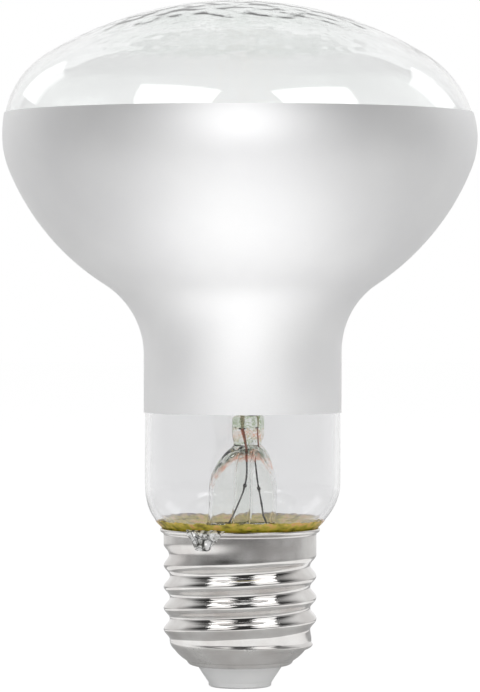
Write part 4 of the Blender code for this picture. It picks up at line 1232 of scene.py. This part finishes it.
def make_driver():
    fibre = plain_finish("green_board", (0.03, 0.16, 0.07), (0.06, 0.26, 0.12), 0.3, 0.45, 0.35 * MM,
                         0.01 * MM)
    black = plain_finish("black_moulding", (0.02, 0.02, 0.022), (0.04, 0.04, 0.042), 0.35, 0.55,
                         0.15 * MM, 0.008 * MM)
    sleeve = plain_finish("dark_sleeve", (0.03, 0.04, 0.09), (0.06, 0.07, 0.14), 0.25, 0.4, 0.6 * MM,
                          0.01 * MM)
    enamel = plain_finish("resistor_enamel", (0.22, 0.38, 0.46), (0.32, 0.5, 0.58), 0.35, 0.5,
                          0.4 * MM, 0.02 * MM)
    rubber = plain_finish("wire_insulation", (0.6, 0.58, 0.52), (0.72, 0.7, 0.64), 0.4, 0.55,
                          0.5 * MM, 0.01 * MM)
    dress(fibre, "driver_board")
    dress(black, "bridge_rectifier", "driver_ic", "chip_resistor_1", "chip_resistor_2")
    dress(sleeve, "smoothing_capacitor")
    dress(enamel, "fusible_resistor")
    dress(rubber, "centre_wire", "neutral_wire")


# Studio

def horizon_strength(look, parts):
    """What stands round the horizon: a white backdrop behind the lamp, and little behind the camera."""
    across = combined(look, "MULTIPLY", parts["X"], parts["X"])
    level = combined(look, "SQRT", combined(look, "MULTIPLY_ADD", parts["Y"], parts["Y"], across))
    behind = combined(look, "DIVIDE", parts["Y"], level)
    return colour_ramp(look, combined(look, "MULTIPLY_ADD", behind, 0.5, 0.5), (0, FRONT_STRENGTH),
                       (0.2, SIDE_STRENGTH / 2), (0.5, SIDE_STRENGTH), (0.82, 1), ease="EASE")


def mixed(look, share, first, second):
    """Two strengths mixed by a share."""
    return linked(look, "ShaderNodeMix", {0: share, 2: first, 3: second})


def make_world():
    """White behind the lamp, darker at its sides and behind the camera, under a ceiling that is pale
    at the back."""
    world = bpy.data.worlds.new("studio")
    bpy.context.scene.world = world
    world.use_nodes = True
    world.cycles.sampling_method = "NONE"
    parts = parts_of(world, linked(world, "ShaderNodeTexCoord", {}, "Generated"))
    above = colour_ramp(world, parts["Z"], (0.34, 0), (0.48, 1), ease="EASE")
    depth = combined(world, "MULTIPLY_ADD", parts["Y"], 0.5, 0.5)
    ceiling = colour_ramp(world, depth, (0.44, FRONT_CEILING_STRENGTH), (0.75, BACK_CEILING_STRENGTH),
                          ease="EASE")
    studio = mixed(world, above, horizon_strength(world, parts), ceiling)
    clear = combined(world, "MAXIMUM", studio, THROUGH_GLASS_STRENGTH)
    path = linked(world, "ShaderNodeLightPath", {}).node.outputs
    studio = mixed(world, path["Is Transmission Ray"], studio, clear)
    studio = mixed(world, path["Is Diffuse Ray"], studio, AMBIENT_STRENGTH)
    background = world.node_tree.nodes["Background"]
    background.inputs["Color"].default_value = (1, 1, 1, 1)
    world.node_tree.links.new(mixed(world, path["Is Camera Ray"], studio, 1), background.inputs["Strength"])


def make_lamp(name, place, aim, width, height, radiance, pieces, state="INCLUDE"):
    """A soft rectangular light, out of sight of the camera, for only these pieces or for all but them."""
    data = bpy.data.lights.new(name, "AREA")
    data.shape = "RECTANGLE"
    data.size = width
    data.size_y = height
    data.energy = radiance * math.pi * width * height
    lamp = added(name, data)
    lamp.location = place
    lamp.rotation_euler = (aim - place).to_track_quat("-Z", "Y").to_euler()
    lamp.visible_camera = False
    chosen = bpy.data.collections.new(f"{name}_{state.lower()}")
    for piece in pieces:
        chosen.objects.link(piece)
    for member in chosen.collection_objects:
        member.light_linking.link_state = state
    lamp.light_linking.receiver_collection = chosen


def make_floor_lamp(name, x, y, width, depth, radiance, pieces):
    """A light flat on the floor, shining up."""
    place = Vector((x, y, LOW_STRIP_HEIGHT))
    make_lamp(name, place, place + Vector((0, 0, 1)), width, depth, radiance, pieces)


def standing(turn, rise, distance):
    """A place round the lamp: turned from the camera's side, and risen above its middle."""
    level = around(distance * math.cos(rise), turn - math.pi / 2, distance * math.sin(rise))
    return LAMP_MIDDLE + level


def make_lamps(band, shell):
    """Softboxes for all but the metal and weaker ones for the cap, lights high at the cap's sides,
    back lights, strips in front of the band and a strip on the floor below it."""
    metal = [band, shell]
    softbox = (SOFTBOX_TURNS, SOFTBOX_RISE, SOFTBOX_WIDTH)
    cap_light = (CAP_LIGHT_TURNS, CAP_LIGHT_RISE, CAP_LIGHT_WIDTH)
    back_light = (BACK_LIGHT_TURNS, BACK_LIGHT_RISE, BACK_LIGHT_SIZE)
    kinds = (("softbox", softbox, SOFTBOX_HEIGHT, SOFTBOX_RADIANCE, metal, "EXCLUDE"),
             ("cap_softbox", softbox, CAP_SOFTBOX_HEIGHT, CAP_SOFTBOX_RADIANCE, [shell], "INCLUDE"),
             ("cap_light", cap_light, CAP_LIGHT_HEIGHT, CAP_LIGHT_RADIANCE, [shell], "INCLUDE"),
             ("back_light", back_light, BACK_LIGHT_SIZE, BACK_LIGHT_RADIANCE, [shell], "EXCLUDE"))
    for name, (turns, rise, width), height, radiance, pieces, state in kinds:
        for side, turn in zip(("left", "right"), turns):
            place = standing(turn, rise, SOFTBOX_DISTANCE)
            make_lamp(f"{name}_{side}", place, LAMP_MIDDLE, width, height, radiance, pieces, state)
    for name, rise, radiance in zip(("low", "high"), STRIP_RISES, STRIP_RADIANCES):
        place = standing(0, rise, STRIP_DISTANCE)
        make_lamp(f"band_strip_{name}", place, LAMP_MIDDLE, STRIP_WIDTH, STRIP_HEIGHT, radiance, [band])
    middle = -(LOW_STRIP_START + LOW_STRIP_END) / 2
    reach = LOW_STRIP_END - LOW_STRIP_START
    make_floor_lamp("floor_strip", 0, middle, LOW_STRIP_WIDTH, reach, LOW_STRIP_RADIANCE, [band])


def make_cap_floor(pieces):
    """Lights flat on the floor before the cap and at its sides, which brighten what the cap shows."""
    middle = (CAP_FLOOR_INNER + CAP_FLOOR_OUTER) / 2
    reach = CAP_FLOOR_OUTER - CAP_FLOOR_INNER
    front = ("front", 0, -middle, 2 * CAP_FLOOR_OUTER, reach)
    left = ("left", -middle, CAP_FLOOR_INNER / 2, reach, 3 * CAP_FLOOR_INNER)
    right = ("right", middle, CAP_FLOOR_INNER / 2, reach, 3 * CAP_FLOOR_INNER)
    for name, x, y, width, depth in (front, left, right):
        make_floor_lamp(f"cap_floor_{name}", x, y, width, depth, CAP_FLOOR_RADIANCE, pieces)


def diffuse(look, albedo):
    return linked(look, "ShaderNodeBsdfDiffuse", {"Color": (albedo, albedo, albedo, 1)})


def floor_finish():
    """As white as the backdrop to the camera, but for the lamp's shadow; in reflections it gives way
    to what stands beyond it."""
    finish = bpy.data.materials.new("pale_floor")
    finish.use_nodes = True
    finish.node_tree.nodes.remove(shader_of(finish))
    glow = linked(finish, "ShaderNodeEmission", {"Strength": FLOOR_GLOW})
    white = linked(finish, "ShaderNodeAddShader", {0: diffuse(finish, FLOOR_SEEN_ALBEDO), 1: glow})

    place = linked(finish, "ShaderNodeNewGeometry", {}, "Position")
    horizon = horizon_strength(finish, parts_of(finish, place))
    beyond = linked(finish, "ShaderNodeEmission", {"Strength": horizon})
    reach = linked(finish, "ShaderNodeVectorMath", {0: place}, "Value", operation="LENGTH")
    values = {"Value": reach, "From Min": FLOOR_NEAR, "From Max": FLOOR_FAR}
    far = linked(finish, "ShaderNodeMapRange", values, interpolation_type="SMOOTHSTEP")
    path = linked(finish, "ShaderNodeLightPath", {}).node.outputs
    share = combined(finish, "MULTIPLY", far, path["Is Glossy Ray"])
    lit = diffuse(finish, FLOOR_ALBEDO)
    mirrored = linked(finish, "ShaderNodeMixShader", {0: share, 1: lit, 2: beyond})
    either = combined(finish, "MAXIMUM", path["Is Camera Ray"], path["Is Transmission Ray"])
    show(finish, linked(finish, "ShaderNodeMixShader", {0: either, 1: mirrored, 2: white}))
    return finish


def make_floor():
    rim = [around(FLOOR_RADIUS, math.tau * i / FLOOR_STEPS, 0) for i in range(FLOOR_STEPS)]
    mesh = bpy.data.meshes.new("floor")
    mesh.from_pydata(rim, [], [tuple(range(FLOOR_STEPS))])
    mesh.materials.append(floor_finish())
    added("floor", mesh)


def make_camera():
    data = bpy.data.cameras.new("camera")
    data.lens = LENS
    data.sensor_width = SENSOR
    data.shift_y = (EYE_LEVEL_ROW - PHOTO_HEIGHT / 2) / PHOTO_HEIGHT
    camera = added("camera", data)
    camera.location = (0, -CAMERA_DISTANCE, CAMERA_HEIGHT)
    camera.rotation_euler = (math.pi / 2, 0, 0)
    bpy.context.scene.camera = camera


scene = bpy.context.scene
scene.view_settings.view_transform = "Standard"
scene.cycles.max_bounces = BOUNCES
scene.cycles.transmission_bounces = BOUNCES
scene.cycles.transparent_max_bounces = BOUNCES

make_camera()
make_world()
make_floor()
make_bulb()
band = make_band()
shell = make_shell()
make_cement()
make_solder()
foot = make_foot()
make_contact()
make_lamps(band, shell)
make_cap_floor([shell, foot])
make_stem()
make_leads()
make_filaments()
make_driver()
